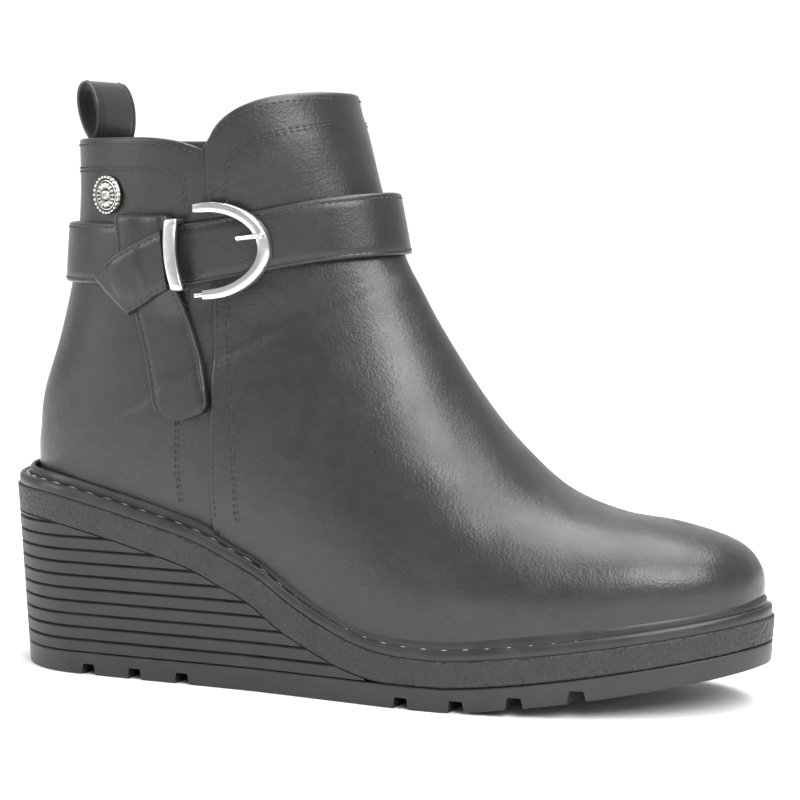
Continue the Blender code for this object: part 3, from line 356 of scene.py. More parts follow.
# Rings of the finished ornament: radius share, height share, scallop share, how many waves, patina
ROSETTE_RINGS = (
    # radius, height, wave_depth, waves, patina
    (0.97, 0.00, 0.000, 24, 0.3),
    (1.00, 0.30, 0.030, 24, 0.2),
    (0.96, 0.62, 0.050, 24, 0.1),
    (0.89, 0.66, 0.060, 24, 0.2),
    (0.84, 0.34, 0.000, 24, 1.0),
    (0.80, 0.34, 0.000, 16, 1.0),
    (0.77, 0.60, 0.000, 16, 0.1),
    (0.72, 0.62, 0.000, 16, 0.1),
    (0.69, 0.36, 0.000, 16, 1.0),
    (0.64, 0.40, 0.100, 16, 0.9),
    (0.58, 0.72, 0.160, 16, 0.1),
    (0.46, 0.80, 0.220, 16, 0.0),
    (0.34, 0.62, 0.200, 16, 0.4),
    (0.29, 0.38, 0.000, 8, 1.0),
    (0.25, 0.62, 0.000, 8, 0.3),
    (0.20, 0.88, 0.060, 8, 0.0),
    (0.12, 1.00, 0.100, 8, 0.0),
    (0.07, 0.86, 0.000, 8, 0.8),
    (0.03, 0.96, 0.000, 8, 0.1),
)

# Stitch lines on both sides of the upper, as places in x and z
REAR_TOP_LINE = ((0.0262, 0.1722), (0.0590, 0.1724), (0.0765, 0.1716), (0.0800, 0.1690), (0.0806, 0.1614),
                 (0.0796, 0.1300), (0.0768, 0.1000), (0.0756, 0.0870), (0.0753, 0.0720), (0.0762, 0.0610))
FRONT_LINE = ((0.0982, 0.0560), (0.0979, 0.0736), (0.0953, 0.0963), (0.0928, 0.1288), (0.0945, 0.1615),
              (0.0952, 0.1740), (0.1000, 0.1800), (0.1090, 0.1826), (0.1180, 0.1845), (0.1222, 0.1862))
SEAM_LINE = ((0.0893, 0.0570), (0.0893, 0.1740))
DOUBLE_SPACING = 0.0012
CAMERA_PLACE = (0.4690, -0.7042, 0.1647)
CAMERA_DIRECTION = (-0.4209, 0.9027, -0.0890)
CAMERA_LENS = 105.75


def clamp(value, low, high):
    return max(low, min(high, value))


def read_table(table, column, position):
    """Smooth cubic through one column of a table, at a position of its first column."""
    last = len(table) - 1
    if position <= table[0][0]:
        return table[0][column]
    if position >= table[last][0]:
        return table[last][column]
    index = 0
    while table[index + 1][0] < position:
        index += 1

    def slope(row):
        before = max(row - 1, 0)
        after = min(row + 1, last)
        rise = table[after][column] - table[before][column]
        return rise / (table[after][0] - table[before][0])

    start, end = table[index], table[index + 1]
    span = end[0] - start[0]
    t = (position - start[0]) / span
    keep = 2 * t ** 3 - 3 * t ** 2 + 1
    curve = (t ** 3 - 2 * t ** 2 + t) * slope(index) * span
    curve += (t ** 3 - t ** 2) * slope(index + 1) * span
    return keep * start[column] + (1 - keep) * end[column] + curve


def spring(x):
    """Share of the toe spring at x."""
    start = SPRING_START * SOLE_LENGTH
    return clamp((x - start) / (SOLE_LENGTH - start), 0.0, 1.0) ** SPRING_POWER


def floor_line(x):
    return TOE_SPRING * spring(x)


def joint_line(x):
    """Seam between outsole and midsole or wedge."""
    return OUTSOLE_THICKNESS + (TOE_SPRING - SPRING_THINNING / 2) * spring(x)


def foot_line(x):
    """Top of the midsole, which carries the upper."""
    drop = read_table(FOOT_LINE, 1, x / SOLE_LENGTH)
    height = FOREFOOT_STACK + (HEEL_STACK - FOREFOOT_STACK) * drop
    return height + (TOE_SPRING - SPRING_THINNING) * spring(x)


def band_line(x):
    """Underside of the midsole band, whose thickness is square to the foot line."""
    step = 0.001
    slope = (foot_line(x + step) - foot_line(x - step)) / (2 * step)
    thickness = MIDSOLE_THICKNESS * math.sqrt(1 + slope ** 2)
    return max(foot_line(x) - thickness, joint_line(x) + GAP)


def plan_at(x, inset):
    """Centre line and half width of the sole at x. The inset is a function of x."""
    heel_end = inset(0.0)
    toe_end = SOLE_LENGTH - inset(SOLE_LENGTH)
    along = x / SOLE_LENGTH
    centre = read_table(PLAN, 1, along) * BALL_WIDTH
    half = 0.5 * (HEEL_WIDTH + (BALL_WIDTH - HEEL_WIDTH) * read_table(PLAN, 2, along)) - inset(x)
    heel_reach = HEEL_ARC * HEEL_WIDTH - heel_end
    toe_start = TOE_START * SOLE_LENGTH
    if x < heel_end + heel_reach:
        back = clamp((heel_end + heel_reach - x) / heel_reach, 0.0, 1.0)
        half *= math.sqrt(1 - back ** 2)
    if x > toe_start:
        front = clamp((x - toe_start) / (toe_end - toe_start), 0.0, 1.0)
        half *= math.sqrt(1 - front ** 2)
    return centre, half


def plan_stations(inset, end=None):
    """Stations along x, close together where the ends are round."""
    heel_end = inset(0.0)
    heel_reach = HEEL_ARC * HEEL_WIDTH - heel_end
    toe_start = TOE_START * SOLE_LENGTH
    toe_reach = SOLE_LENGTH - inset(SOLE_LENGTH) - toe_start
    stations = []
    for i in range(HEEL_STEPS):
        stations.append(heel_end + heel_reach * (1 - math.cos(0.5 * math.pi * i / HEEL_STEPS)))
    side_start = heel_end + heel_reach
    side_end = toe_start if end is None else end
    for i in range(SIDE_STEPS + 1):
        stations.append(side_start + (side_end - side_start) * i / SIDE_STEPS)
    if end is None:
        for i in range(1, TOE_STEPS + 1):
            stations.append(toe_start + toe_reach * math.sin(0.5 * math.pi * i / TOE_STEPS))
    return stations


def make_object(name, bm):
    """Turn a bmesh into a named object with outward faces."""
    bmesh.ops.remove_doubles(bm, verts=bm.verts, dist=1e-6)
    bmesh.ops.recalc_face_normals(bm, faces=bm.faces)
    mesh = bpy.data.meshes.new(name)
    bm.to_mesh(mesh)
    bm.free()
    obj = bpy.data.objects.new(name, mesh)
    bpy.context.scene.collection.objects.link(obj)
    return obj


def side_prism(name, outline, half_depth):
    """Solid of an outline in x and z, from -half_depth to +half_depth in y."""
    bm = bmesh.new()
    near = [bm.verts.new((x, -half_depth, z)) for x, z in outline]
    far = [bm.verts.new((x, half_depth, z)) for x, z in outline]
    bm.faces.new(near)
    bm.faces.new(far)
    for i in range(len(outline)):
        j = (i + 1) % len(outline)
        bm.faces.new((near[i], near[j], far[j], far[i]))
    return make_object(name, bm)


def outline_ring(bm, inset, height, end=None):
    """Vertices of one outline, in outer and inner pairs from heel to toe."""
    pairs = []
    for x in plan_stations(inset, end):
        centre, half = plan_at(x, inset)
        outer = bm.verts.new((x, centre - half, height(x)))
        inner = bm.verts.new((x, centre + half, height(x)))
        pairs.append((outer, inner))
    return pairs


def join_rings(bm, lower, upper):
    """Walls between two outlines, on both sides of the foot."""
    for i in range(len(lower) - 1):
        bm.faces.new((lower[i][0], lower[i + 1][0], upper[i + 1][0], upper[i][0]))
        bm.faces.new((lower[i + 1][1], lower[i][1], upper[i][1], upper[i + 1][1]))


def sole_stack(name, levels, end=None):
    """Solid through outlines of the sole, each an inset and a height as functions of x."""
    bm = bmesh.new()
    rings = [outline_ring(bm, inset, height, end) for inset, height in levels]
    for lower, upper in zip(rings, rings[1:]):
        join_rings(bm, lower, upper)
        if end is not None:
            bm.faces.new((lower[-1][0], lower[-1][1], upper[-1][1], upper[-1][0]))
    for ring in (rings[0], rings[-1]):
        for i in range(len(ring) - 1):
            bm.faces.new((ring[i][0], ring[i][1], ring[i + 1][1], ring[i + 1][0]))
    return make_object(name, bm)


def flare_at(height):
    """Outward lean of the sole's side at a height."""
    return SIDE_FLARE * height / HEEL_STACK


def flared(height, setback=0.0):
    """Inset of the flared side along a line of heights."""
    return lambda x: setback - flare_at(height(x))


def raised(height, amount):
    return lambda x: height(x) + amount


def notch_positions():
    """Middles of the channels, three under the heel and four under the forefoot."""
    positions = [HEEL_NOTCH_START + i * HEEL_NOTCH_PITCH for i in range(3)]
    positions += [FOREFOOT_NOTCH_START + i * FOREFOOT_NOTCH_PITCH for i in range(4)]
    return positions


def notch_cutter(x):
    """Channel across the sole, wider at the floor than at its top."""
    floor = floor_line(x)
    foot = 0.5 * NOTCH_WIDTH * NOTCH_SPREAD
    head = 0.5 * NOTCH_WIDTH
    outline = (
        (x - foot, floor - NOTCH_HEIGHT),
        (x + foot, floor - NOTCH_HEIGHT),
        (x + foot, floor),
        (x + head, floor + NOTCH_HEIGHT),
        (x - head, floor + NOTCH_HEIGHT),
        (x - foot, floor),
    )
    return side_prism("notch_cutter", outline, BALL_WIDTH)


def wedge_front():
    """Where the wedge has thinned to its least edge."""
    x = 0.5 * SOLE_LENGTH
    while band_line(x) - joint_line(x) > WEDGE_EDGE and x < 0.7 * SOLE_LENGTH:
        x += 0.001
    return x


def section_at(position):
    """Every column of the section table at a position counted in rows."""
    index = int(clamp(math.floor(position), 0, len(SECTIONS) - 2))
    t = position - index
    before = SECTIONS[max(index - 1, 0)]
    start, end = SECTIONS[index], SECTIONS[index + 1]
    after = SECTIONS[min(index + 2, len(SECTIONS) - 1)]
    values = []
    for a, b, c, d in zip(before, start, end, after):
        value = 2 * b + (c - a) * t + (2 * a - 5 * b + 4 * c - d) * t ** 2 + (3 * b - a - 3 * c + d) * t ** 3
        values.append(0.5 * value)
    return values


def last_x(share):
    """Place along the last, from its heel end to its toe end."""
    return UPPER_INSET + share * (SOLE_LENGTH - 2 * UPPER_INSET)


def upper_inset(x):
    return UPPER_INSET


def collar_height(x):
    """Height of the top edge over x."""
    back = last_x(SECTIONS[-2][0])
    front = last_x(SECTIONS[-2][2])
    notch = COLLAR_BACK_HEIGHT - COLLAR_NOTCH_DEPTH
    if x < PANEL_SEAM_X:
        drop = read_table(COLLAR_REAR, 1, (x - back) / (PANEL_SEAM_X - back))
        return COLLAR_BACK_HEIGHT - drop * (COLLAR_BACK_HEIGHT - notch)
    rise = read_table(COLLAR_FRONT, 1, (x - PANEL_SEAM_X) / (front - PANEL_SEAM_X))
    return notch + rise * (COLLAR_FRONT_HEIGHT - notch)


def ribbon(name, inner, outer):
    """Closed strip between a grid of inner points and a grid of outer points."""
    bm = bmesh.new()
    low = [[bm.verts.new(point) for point in row] for row in inner]
    high = [[bm.verts.new(point) for point in row] for row in outer]
    columns = len(low[0])
    for i in range(len(low) - 1):
        for j in range(columns - 1):
            bm.faces.new((low[i][j], low[i][j + 1], low[i + 1][j + 1], low[i + 1][j]))
            bm.faces.new((high[i][j], high[i + 1][j], high[i + 1][j + 1], high[i][j + 1]))
        for j in (0, -1):
            bm.faces.new((low[i][j], low[i + 1][j], high[i + 1][j], high[i][j]))
    for i in (0, -1):
        for j in range(columns - 1):
            bm.faces.new((low[i][j], low[i][j + 1], high[i][j + 1], high[i][j]))
    return make_object(name, bm)


class Surface:
    """Ray casts onto the outside of finished pieces."""

    def __init__(self, objects):
        graph = bpy.context.evaluated_depsgraph_get()
        self.trees = [BVHTree.FromObject(obj, graph) for obj in objects]

    def cast(self, start, direction):
        """Nearest hit of a ray on any of the pieces."""
        hits = [tree.ray_cast(start, direction)[0] for tree in self.trees]
        hits = [hit for hit in hits if hit is not None]
        return min(hits, key=lambda hit: (hit - start).length) if hits else None

    def side(self, x, z):
        """Outermost point on the outer side at x and z."""
        hit = self.cast(Vector((x, -2 * BALL_WIDTH, z)), Vector((0.0, 1.0, 0.0)))
        return Vector((x, 0.0, z)) if hit is None else hit

    def seat(self, x, z, reach=SEAT_REACH):
        """Where a piece rests that covers a small square around x and z on the outer side."""
        steps = [0.5 * reach * i for i in range(-2, 3)]
        return min(self.side(x + dx, z + dz).y for dx in steps for dz in steps) - GAP

    def reach(self, start, outward):
        """How far the surface lies beyond a point in the outward direction."""
        far = start + 2 * BALL_WIDTH * outward
        hit = self.cast(far, -outward)
        return 0.0 if hit is None else (hit - start).dot(outward)


def strap_height(x):
    """Height of the ankle strap's middle over x."""
    along = clamp((x - STRAP_RISE_START) / (STRAP_RISE_END - STRAP_RISE_START), 0.0, 1.0)
    return STRAP_BACK_HEIGHT + (STRAP_FRONT_HEIGHT - STRAP_BACK_HEIGHT) * along ** 1.3


def strap_station(share):
    """Middle point and outward direction at a share of the way around the ankle."""
    back = last_x(SECTIONS[-3][0])
    front = last_x(SECTIONS[-3][2])
    middle = 0.5 * (back + front)
    long_half = 0.5 * (front - back)
    short_half = 0.5 * SHAFT_WIDTH
    rear_end = math.acos(clamp((KNOT_X - 0.5 * STRAP_OPENING - middle) / long_half, -1.0, 1.0))
    front_end = math.acos(clamp((KNOT_X + 0.5 * STRAP_OPENING - middle) / long_half, -1.0, 1.0))
    angle = -rear_end - (2 * math.pi + front_end - rear_end) * share
    point = Vector((middle + long_half * math.cos(angle), short_half * math.sin(angle), 0.0))
    outward = Vector((math.cos(angle) / long_half, math.sin(angle) / short_half, 0.0)).normalized()
    point.z = strap_height(point.x)
    return point, outward


def strap_seat(surface, share):
    """How far the lower and the upper edge of the strap stand out at a share of the way around."""
    half = 0.5 * STRAP_WIDTH
    point, outward = strap_station(clamp(share, 0.0, 1.0))
    low, middle, high = (
        surface.reach(point + Vector((0.0, 0.0, height)), outward) for height in (-half, 0.0, half)
    )
    lean = 0.5 * (high - low)
    middle = max(middle, low + 0.5 * lean, high - 0.5 * lean)
    return middle - 0.5 * lean, middle + 0.5 * lean


def tail_edges(z, top):
    """Left and right edge of the tail at a height."""
    along = (top - z) / TAIL_LENGTH
    middle = KNOT_X + read_table(TAIL_ROWS, 1, along) * TAIL_WIDTH
    half = 0.5 * read_table(TAIL_ROWS, 2, along) * TAIL_WIDTH
    return (middle - half, z), (middle + half, z)


def knot_place(x_share, z_share):
    return (KNOT_X + x_share * WRAP_LENGTH, strap_height(KNOT_X) + z_share * WRAP_WIDTH)


def bar_middle(share):
    """Middle of the bar's width in x at a share of its length from the bottom, beside the wrap's end."""
    lower, upper = knot_place(*WRAP_ROWS[0][2:]), knot_place(*WRAP_ROWS[0][:2])
    left = lower[0] + (upper[0] - lower[0]) * share + GAP + BAR_BULGE
    return left + 0.5 * BAR_WIDTH - BAR_BULGE * (1 - (2 * share - 1) ** 2)


def frame_seat(surface, x):
    """Where the buckle frame rests on the strap over x."""
    heights = [strap_height(x) + share * STRAP_WIDTH for share in (-0.35, 0.0, 0.35)]
    return min(surface.seat(x, z) for z in heights)


def frame_rows():
    """Places on the middle of the frame, with the direction across its face and its width."""
    reach = FRAME_REACH - 0.5 * FRAME_FACE
    half = 0.5 * (FRAME_HEIGHT - FRAME_FACE)
    rows = [
        (-FRAME_ARM - TONGUE_LENGTH, -half, -0.5 * math.pi, 0.4),
        (-FRAME_ARM, -half, -0.5 * math.pi, 0.4),
        (-0.9 * FRAME_ARM, -half, -0.5 * math.pi, 0.9),
    ]
    for i in range(FRAME_STEPS + 1):
        angle = math.pi * (i / FRAME_STEPS - 0.5)
        rows.append((reach * math.cos(angle), half * math.sin(angle), angle, 1.0))
    rows.append((-FRAME_ARM, half, 0.5 * math.pi, 0.8))
    return rows


def loop_path(rear):
    """Side view of the loop, from the foot of its rear leg over the top to the foot of its front leg."""
    pitch = 0.5 * (LOOP_THICKNESS + GAP)
    middle = rear + 0.5 * LOOP_THICKNESS + pitch
    base = COLLAR_BACK_HEIGHT + GAP
    swell = 0.55 * (LOOP_DEPTH - LOOP_THICKNESS)
    height = LOOP_HEIGHT - 0.5 * LOOP_THICKNESS
    path = [(middle - pitch, base - LOOP_TAB)]
    for i in range(LOOP_STEPS + 1):
        angle = 2 * math.pi * i / LOOP_STEPS
        share = 0.5 * (1 - math.cos(angle))
        half = pitch * math.cos(0.5 * angle) + swell * math.sin(angle) * share ** 0.25
        path.append((middle - LOOP_LEAN * share - half, base + height * share))
    path.append((middle + pitch, base - LOOP_TAB))
    return path


def crease_depth(point):
    """How far the leather is drawn in at a point, with a soft ridge beside each trough."""
    total = 0.0
    for start_x, start_z, end_x, end_z, width, depth in CREASES:
        along_x, along_z = end_x - start_x, end_z - start_z
        length = math.hypot(along_x, along_z)
        share = ((point[0] - start_x) * along_x + (point[2] - start_z) * along_z) / length ** 2
        across = ((point[2] - start_z) * along_x - (point[0] - start_x) * along_z) / length
        fade = math.exp(-((share - 0.5) / 0.42) ** 4)
        bow = across + 0.12 * length * (1 - (2 * share - 1) ** 2)
        q = bow / width
        total += depth * fade * (math.exp(-q ** 2) - 0.55 * math.exp(-(q - 1.4) ** 2))
    return total if point[1] < 0 else 0.6 * total


def last_point(position, v):
    """Point of the last, from its outer foot point at v = -1 over the front at 0 to its inner foot at 1."""
    foot, climb, front, rise, width, widest, fullness, ridge = section_at(position)
    foot_x = last_x(clamp(foot, 0.0, 1.0))
    front_x = last_x(front)
    if position <= FIRST_SHAFT_SECTION:
        foot_z = foot_line(foot_x) + UPPER_GAP
        foot_centre, foot_half = plan_at(foot_x, upper_inset)
    else:
        foot_z = HEEL_STACK + UPPER_GAP + climb * (COLLAR_BACK_HEIGHT - HEEL_STACK)
        foot_centre, foot_half = 0.0, 0.0
    front_z = foot_line(front_x) + rise * (COLLAR_FRONT_HEIGHT - foot_line(front_x))
    toward_shaft = clamp((BALL_SHARE - foot) / BALL_SHARE, 0.0, 1.0)
    half = 0.5 * width * (BALL_WIDTH + (SHAFT_WIDTH - BALL_WIDTH) * toward_shaft)
    if foot > TOE_CLOSE:
        half *= math.sqrt(max(1 - ((foot - TOE_CLOSE) / (1 - TOE_CLOSE)) ** 2, 0.0))
    front_centre = ridge * BALL_WIDTH
    start = 1.0
    if foot_half < half:
        start = 1 - (1 - (foot_half / half) ** BACK_FULLNESS) ** (1 / BACK_FULLNESS)
    t = 1 - abs(v)
    if t < BALL_COLUMN:
        q = 1 - math.cos(0.5 * math.pi * t / BALL_COLUMN)
        s = widest * q
        if foot_half < half:
            q = start + (1 - start) * q
            y = half * max(1 - (1 - q) ** BACK_FULLNESS, 0.0) ** (1 / BACK_FULLNESS)
        else:
            y = foot_half + (half - foot_half) * q
    else:
        q = math.sin(0.5 * math.pi * (t - BALL_COLUMN) / (1 - BALL_COLUMN))
        s = widest + (1 - widest) * q
        y = half * max(1 - q ** fullness, 0.0) ** (1 / fullness)
    x = foot_x + (front_x - foot_x) * s
    z = foot_z + (front_z - foot_z) * s
    centre = foot_centre + (front_centre - foot_centre) * s
    return (x, centre + (y if v > 0 else -y), z)


def collar_position(v_at, below):
    """Position up the last where a column reaches a little below the top edge."""
    low, high = 13.0, len(SECTIONS) - 1.0
    for _ in range(22):
        middle = 0.5 * (low + high)
        x, y, z = last_point(middle, v_at(middle))
        if z < collar_height(x) - below:
            low = middle
        else:
            high = middle
    return low


def seam_column(position, side):
    """Where a section crosses the front panel's seam on one side, or its foot if it is all in front."""
    if last_point(position, side * 1.0)[0] >= PANEL_SEAM_X:
        return 1.0
    low, high = 0.0, 1.0
    for _ in range(20):
        middle = 0.5 * (low + high)
        if last_point(position, side * middle)[0] > PANEL_SEAM_X:
            low = middle
        else:
            high = middle
    return low


def grid_normals(points):
    along = np.gradient(points, axis=0)
    across = np.gradient(points, axis=1)
    normals = np.cross(across, along)
    size = np.linalg.norm(normals, axis=2, keepdims=True)
    reach = np.linalg.norm(along, axis=2, keepdims=True)
    return normals / np.maximum(size, 1e-12), along / np.maximum(reach, 1e-12)


def grid_object(name, grid):
    """Open surface through a grid of points."""
    rows, columns = grid.shape[:2]
    verts = grid.reshape(-1, 3)
    faces = []
    for i in range(rows - 1):
        for j in range(columns - 1):
            a = i * columns + j
            faces.append((a, a + 1, a + columns + 1, a + columns))
    mesh = bpy.data.meshes.new(name)
    mesh.from_pydata([tuple(v) for v in verts], [], faces)
    bm = bmesh.new()
    bm.from_mesh(mesh)
    bmesh.ops.remove_doubles(bm, verts=bm.verts, dist=2e-6)
    bmesh.ops.dissolve_degenerate(bm, edges=bm.edges, dist=1e-7)
    bm.to_mesh(mesh)
    bm.free()
    obj = bpy.data.objects.new(name, mesh)
    bpy.context.scene.collection.objects.link(obj)
    return obj


def rolled(points, normals, along, outer, inner):
    """Rows that roll the collar's edge from the outer offset over to the inner one."""
    radius = 0.5 * (outer + inner)
    middle = 0.5 * (outer - inner)
    rows = []
    for k in range(1, ROLL_STEPS):
        angle = math.pi * k / ROLL_STEPS
        offset = middle + radius * math.cos(angle)
        rows.append(points[-1] + offset * normals[-1] + radius * math.sin(angle) * along[-1])
    return np.array(rows)


def panel_roll(grid, normals, along, step):
    """Rows that carry a laid-on panel over the collar and just behind the lining."""
    behind = UPPER_WALL + LINING_GAP
    rows = []
    for k in range(1, ROLL_STEPS + 1):
        angle = math.pi * k / ROLL_STEPS
        size = 0.5 * (step + behind)
        middle = 0.5 * (step - behind)
        across = (middle + size * math.cos(angle))[:, None]
        up = (size * math.sin(angle))[:, None]
        rows.append(grid[-1] + across * normals[-1] + up * along[-1])
    return np.array(rows)


def make_upper_shell():
    """Rear quarter, lining and rolled collar as one skin."""
    rows, columns = 170, 96
    grid = np.zeros((rows + 1, columns + 1, 3))
    for j in range(columns + 1):
        v = -1 + 2 * j / columns
        v = math.copysign(1 - (1 - abs(v)) ** 1.08, v) if v else 0.0
        end = collar_position(lambda p, v=v: v, 0.5 * UPPER_WALL)
        for i in range(rows + 1):
            grid[i, j] = last_point(end * (i / rows) ** 1.15, v)
    normals, along = grid_normals(grid)
    depth = np.array([[crease_depth(p) for p in row] for row in grid])[..., None]
    outer = grid - depth * normals
    inner = grid - UPPER_WALL * normals
    roll = rolled(grid, normals, along, 0.0, UPPER_WALL)
    return grid_object("upper_shell", np.concatenate([outer, roll, inner[::-1]]))


def make_front_panel():
    """Vamp and front of the shaft, laid over the rear quarter with a rounded raised edge."""
    rows, half_columns = 190, 44
    edge = [1.0, 0.9987, 0.9967, 0.9933, 0.988, 0.982]
    spread = [0.982 * (1 - (i / half_columns)) for i in range(1, half_columns + 1)]
    right = edge + spread
    shares = [-c for c in right] + right[-2::-1]
    grid = np.zeros((rows + 1, len(shares), 3))
    known = {}

    def column(position, share):
        key = (round(position, 3), share > 0)
        if key not in known:
            known[key] = seam_column(position, 1 if share > 0 else -1)
        return share * known[key]

    radius = 0.5 * (UPPER_WALL + PANEL_STEP)
    for j, share in enumerate(shares):
        end = collar_position(lambda p: column(p, share), radius)
        for i in range(rows + 1):
            position = end * (i / rows) ** 1.15
            grid[i, j] = last_point(position, column(position, share))
    normals, along = grid_normals(grid)
    reach = np.clip((1 - np.abs(np.array(shares))) / 0.012, 0.0, 1.0)
    step = PANEL_STEP * np.sqrt(1 - (1 - reach) ** 2)
    depth = np.array([[crease_depth(p) for p in row] for row in grid])
    offset = step[None, :] - depth * reach[None, :]
    outer = grid + offset[..., None] * normals
    roll = panel_roll(grid, normals, along, step)
    hem = grid[-6] - (UPPER_WALL + LINING_GAP) * normals[-6]
    return grid_object("front_panel", np.concatenate([outer, roll, hem[None]]))


def make_backstay():
    """Narrow raised strip up the middle of the heel."""
    rows = 90
    shares = (-1.0, -0.97, -0.92, -0.84, -0.6, -0.3, 0.0, 0.3, 0.6, 0.84, 0.92, 0.97, 1.0)
    grid = np.zeros((rows + 1, len(shares), 3))
    for j, share in enumerate(shares):
        side = 1 if share > 0 else -1

        def column(position):
            target = 0.5 * BACKSTAY_WIDTH * abs(share)
            low, high = 0.55, 1.0
            for _ in range(18):
                middle = 0.5 * (low + high)
                if abs(last_point(position, side * middle)[1]) > target:
                    low = middle
                else:
                    high = middle
            return side * high

        end = collar_position(column, 0.5 * UPPER_WALL)
        for i in range(rows + 1):
            position = FIRST_SHAFT_SECTION + 0.02 + (end - FIRST_SHAFT_SECTION - 0.02) * i / rows
            grid[i, j] = last_point(position, column(position))
    normals, along = grid_normals(grid)
    if normals[rows // 2, len(shares) // 2, 0] > 0:
        normals = -normals
    reach = np.clip((1 - np.abs(np.array(shares))) / 0.16, 0.0, 1.0)
    step = BACKSTAY_STEP * np.sqrt(1 - (1 - reach) ** 2)
    outer = grid + step[None, :, None] * normals
    roll = panel_roll(grid, normals, along, step)
    return grid_object("backstay_strip", np.concatenate([outer, roll]))


def apply_cuts(obj, cutters, operation):
    """Cut a piece with others, keep the result as its mesh and delete the cutters."""
    for cutter in cutters:
        modifier = obj.modifiers.new("cut", "BOOLEAN")
        modifier.operation = operation
        modifier.solver = "EXACT"
        modifier.object = cutter
    graph = bpy.context.evaluated_depsgraph_get()
    mesh = bpy.data.meshes.new_from_object(obj.evaluated_get(graph))
    obj.modifiers.clear()
    obj.data = mesh
    for cutter in cutters:
        bpy.data.objects.remove(cutter, do_unlink=True)


def make_outsole_rubber():
    bevel = OUTSOLE_BEVEL
    low = raised(floor_line, bevel)
    high = raised(joint_line, -0.0004)
    obj = sole_stack("outsole_slab", (
        (flared(floor_line, bevel), floor_line),
        (flared(floor_line, 0.3 * bevel), raised(floor_line, 0.3 * bevel)),
        (flared(low), low),
        (flared(high), high),
        (flared(joint_line, 0.0004), joint_line),
    ))
    apply_cuts(obj, [notch_cutter(position) for position in notch_positions()], "DIFFERENCE")
    return obj


def make_midsole_band():
    edge = BAND_BEVEL

    def middle_line(x):
        return 0.5 * (band_line(x) + foot_line(x))

    return sole_stack("midsole_band", (
        (flared(band_line, edge), band_line),
        (flared(band_line), raised(band_line, edge)),
        (flared(middle_line), middle_line),
        (flared(foot_line), raised(foot_line, -edge)),
        (flared(foot_line, edge), foot_line),
    ))


def make_heel_wedge():
    top = HEEL_STACK - MIDSOLE_THICKNESS + GROOVE_PITCH
    levels = [
        (flared(joint_line, 0.0004), raised(joint_line, GAP)),
        (flared(joint_line), raised(joint_line, 0.0006)),
    ]
    height = OUTSOLE_THICKNESS + GROOVE_PITCH
    while height < top:
        profile = ((-0.5, 0.0), (-0.25, GROOVE_LIP), (0.0, GROOVE_DEPTH), (0.25, GROOVE_LIP), (0.5, 0.0))
        for share, depth in profile:
            level = height + share * GROOVE_WIDTH
            levels.append((lambda x, z=level, d=depth: d - flare_at(z), lambda x, z=level: z))
        height += GROOVE_PITCH
    front = wedge_front()
    wedge = sole_stack("heel_wedge", levels, front)
    under = [(-BALL_WIDTH, 0.0), (-BALL_WIDTH, band_line(0.0))]
    under += [(front * i / SIDE_STEPS, band_line(front * i / SIDE_STEPS)) for i in range(SIDE_STEPS + 1)]
    under += [(front + GAP, band_line(front)), (front + GAP, 0.0)]
    apply_cuts(wedge, [side_prism("wedge_trim", under, BALL_WIDTH)], "INTERSECT")
    return wedge


def make_welt_strip():
    """Flange, stitch channel and rounded bead in one section around the foot."""
    edge = flared(foot_line, FLANGE_SETBACK)
    bead = UPPER_INSET - BEAD_WIDTH - PANEL_STEP
    inner = UPPER_INSET + 0.5 * UPPER_WALL
    section = [
        (edge, raised(foot_line, 0.0)),
        (raised(edge, -0.0002), raised(foot_line, 0.0006)),
        (raised(edge, -0.0002), raised(foot_line, 0.7 * FLANGE_HEIGHT)),
        (raised(edge, 0.0003), raised(foot_line, 0.93 * FLANGE_HEIGHT)),
        (raised(edge, FLANGE_EDGE), raised(foot_line, FLANGE_HEIGHT)),
    ]
    for share, sink in ((0.30, 0.0), (0.42, 0.6), (0.60, 1.0), (0.80, 1.0), (0.92, 0.7)):
        section.append((
            lambda x, s=share: edge(x) + FLANGE_EDGE + (bead - edge(x) - FLANGE_EDGE) * s,
            raised(foot_line, FLANGE_HEIGHT - CHANNEL_DEPTH * sink),
        ))
    steps = 9
    foot = FLANGE_HEIGHT - 0.7 * CHANNEL_DEPTH
    for i in range(steps + 1):
        angle = math.pi * i / steps
        section.append((
            lambda x, a=angle: bead + 0.5 * BEAD_WIDTH * 1.15 * (1 - math.cos(a)),
            raised(foot_line, foot + (WELT_HEIGHT - foot) * math.sin(angle) ** 0.7),
        ))
    section.append((lambda x: inner, raised(foot_line, foot)))
    section.append((lambda x: inner, raised(foot_line, 0.0)))
    bm = bmesh.new()
    rings = [outline_ring(bm, inset, height) for inset, height in section]
    for i, ring in enumerate(rings):
        join_rings(bm, ring, rings[(i + 1) % len(rings)])
    return make_object("welt_strip", bm)


def drape(depths, spacing, slope):
    """Depths along a strip, held out so that they never fall in faster than a slope."""
    count = range(len(depths))
    held = [min(depths[k] + slope * abs(i - k) * spacing for k in count) for i in count]
    for _ in range(3):
        held = [
            min(held[i], (held[max(i - 1, 0)] + 2 * held[i] + held[min(i + 1, len(held) - 1)]) / 4 + 0.00002)
            for i in count
        ]
    return held


def strip_grid(edges, depth_at, spacing, slope=0.45):
    """Inner points of a strip on rows between pairs of edge places, draped along its length."""
    grid = []
    for left, right in edges:
        row = []
        for across, thick in ROUND_COLUMNS:
            share = 0.5 * (1 + across)
            x = left[0] + (right[0] - left[0]) * share
            z = left[1] + (right[1] - left[1]) * share
            row.append([x, depth_at(x, z), z])
        grid.append(row)
    for j in range(len(ROUND_COLUMNS)):
        depths = drape([row[j][1] for row in grid], spacing, slope)
        for row, depth in zip(grid, depths):
            row[j][1] = depth
    return grid


def pushed(row, push):
    return [Vector(point) + thick * push for point, (across, thick) in zip(row, ROUND_COLUMNS)]


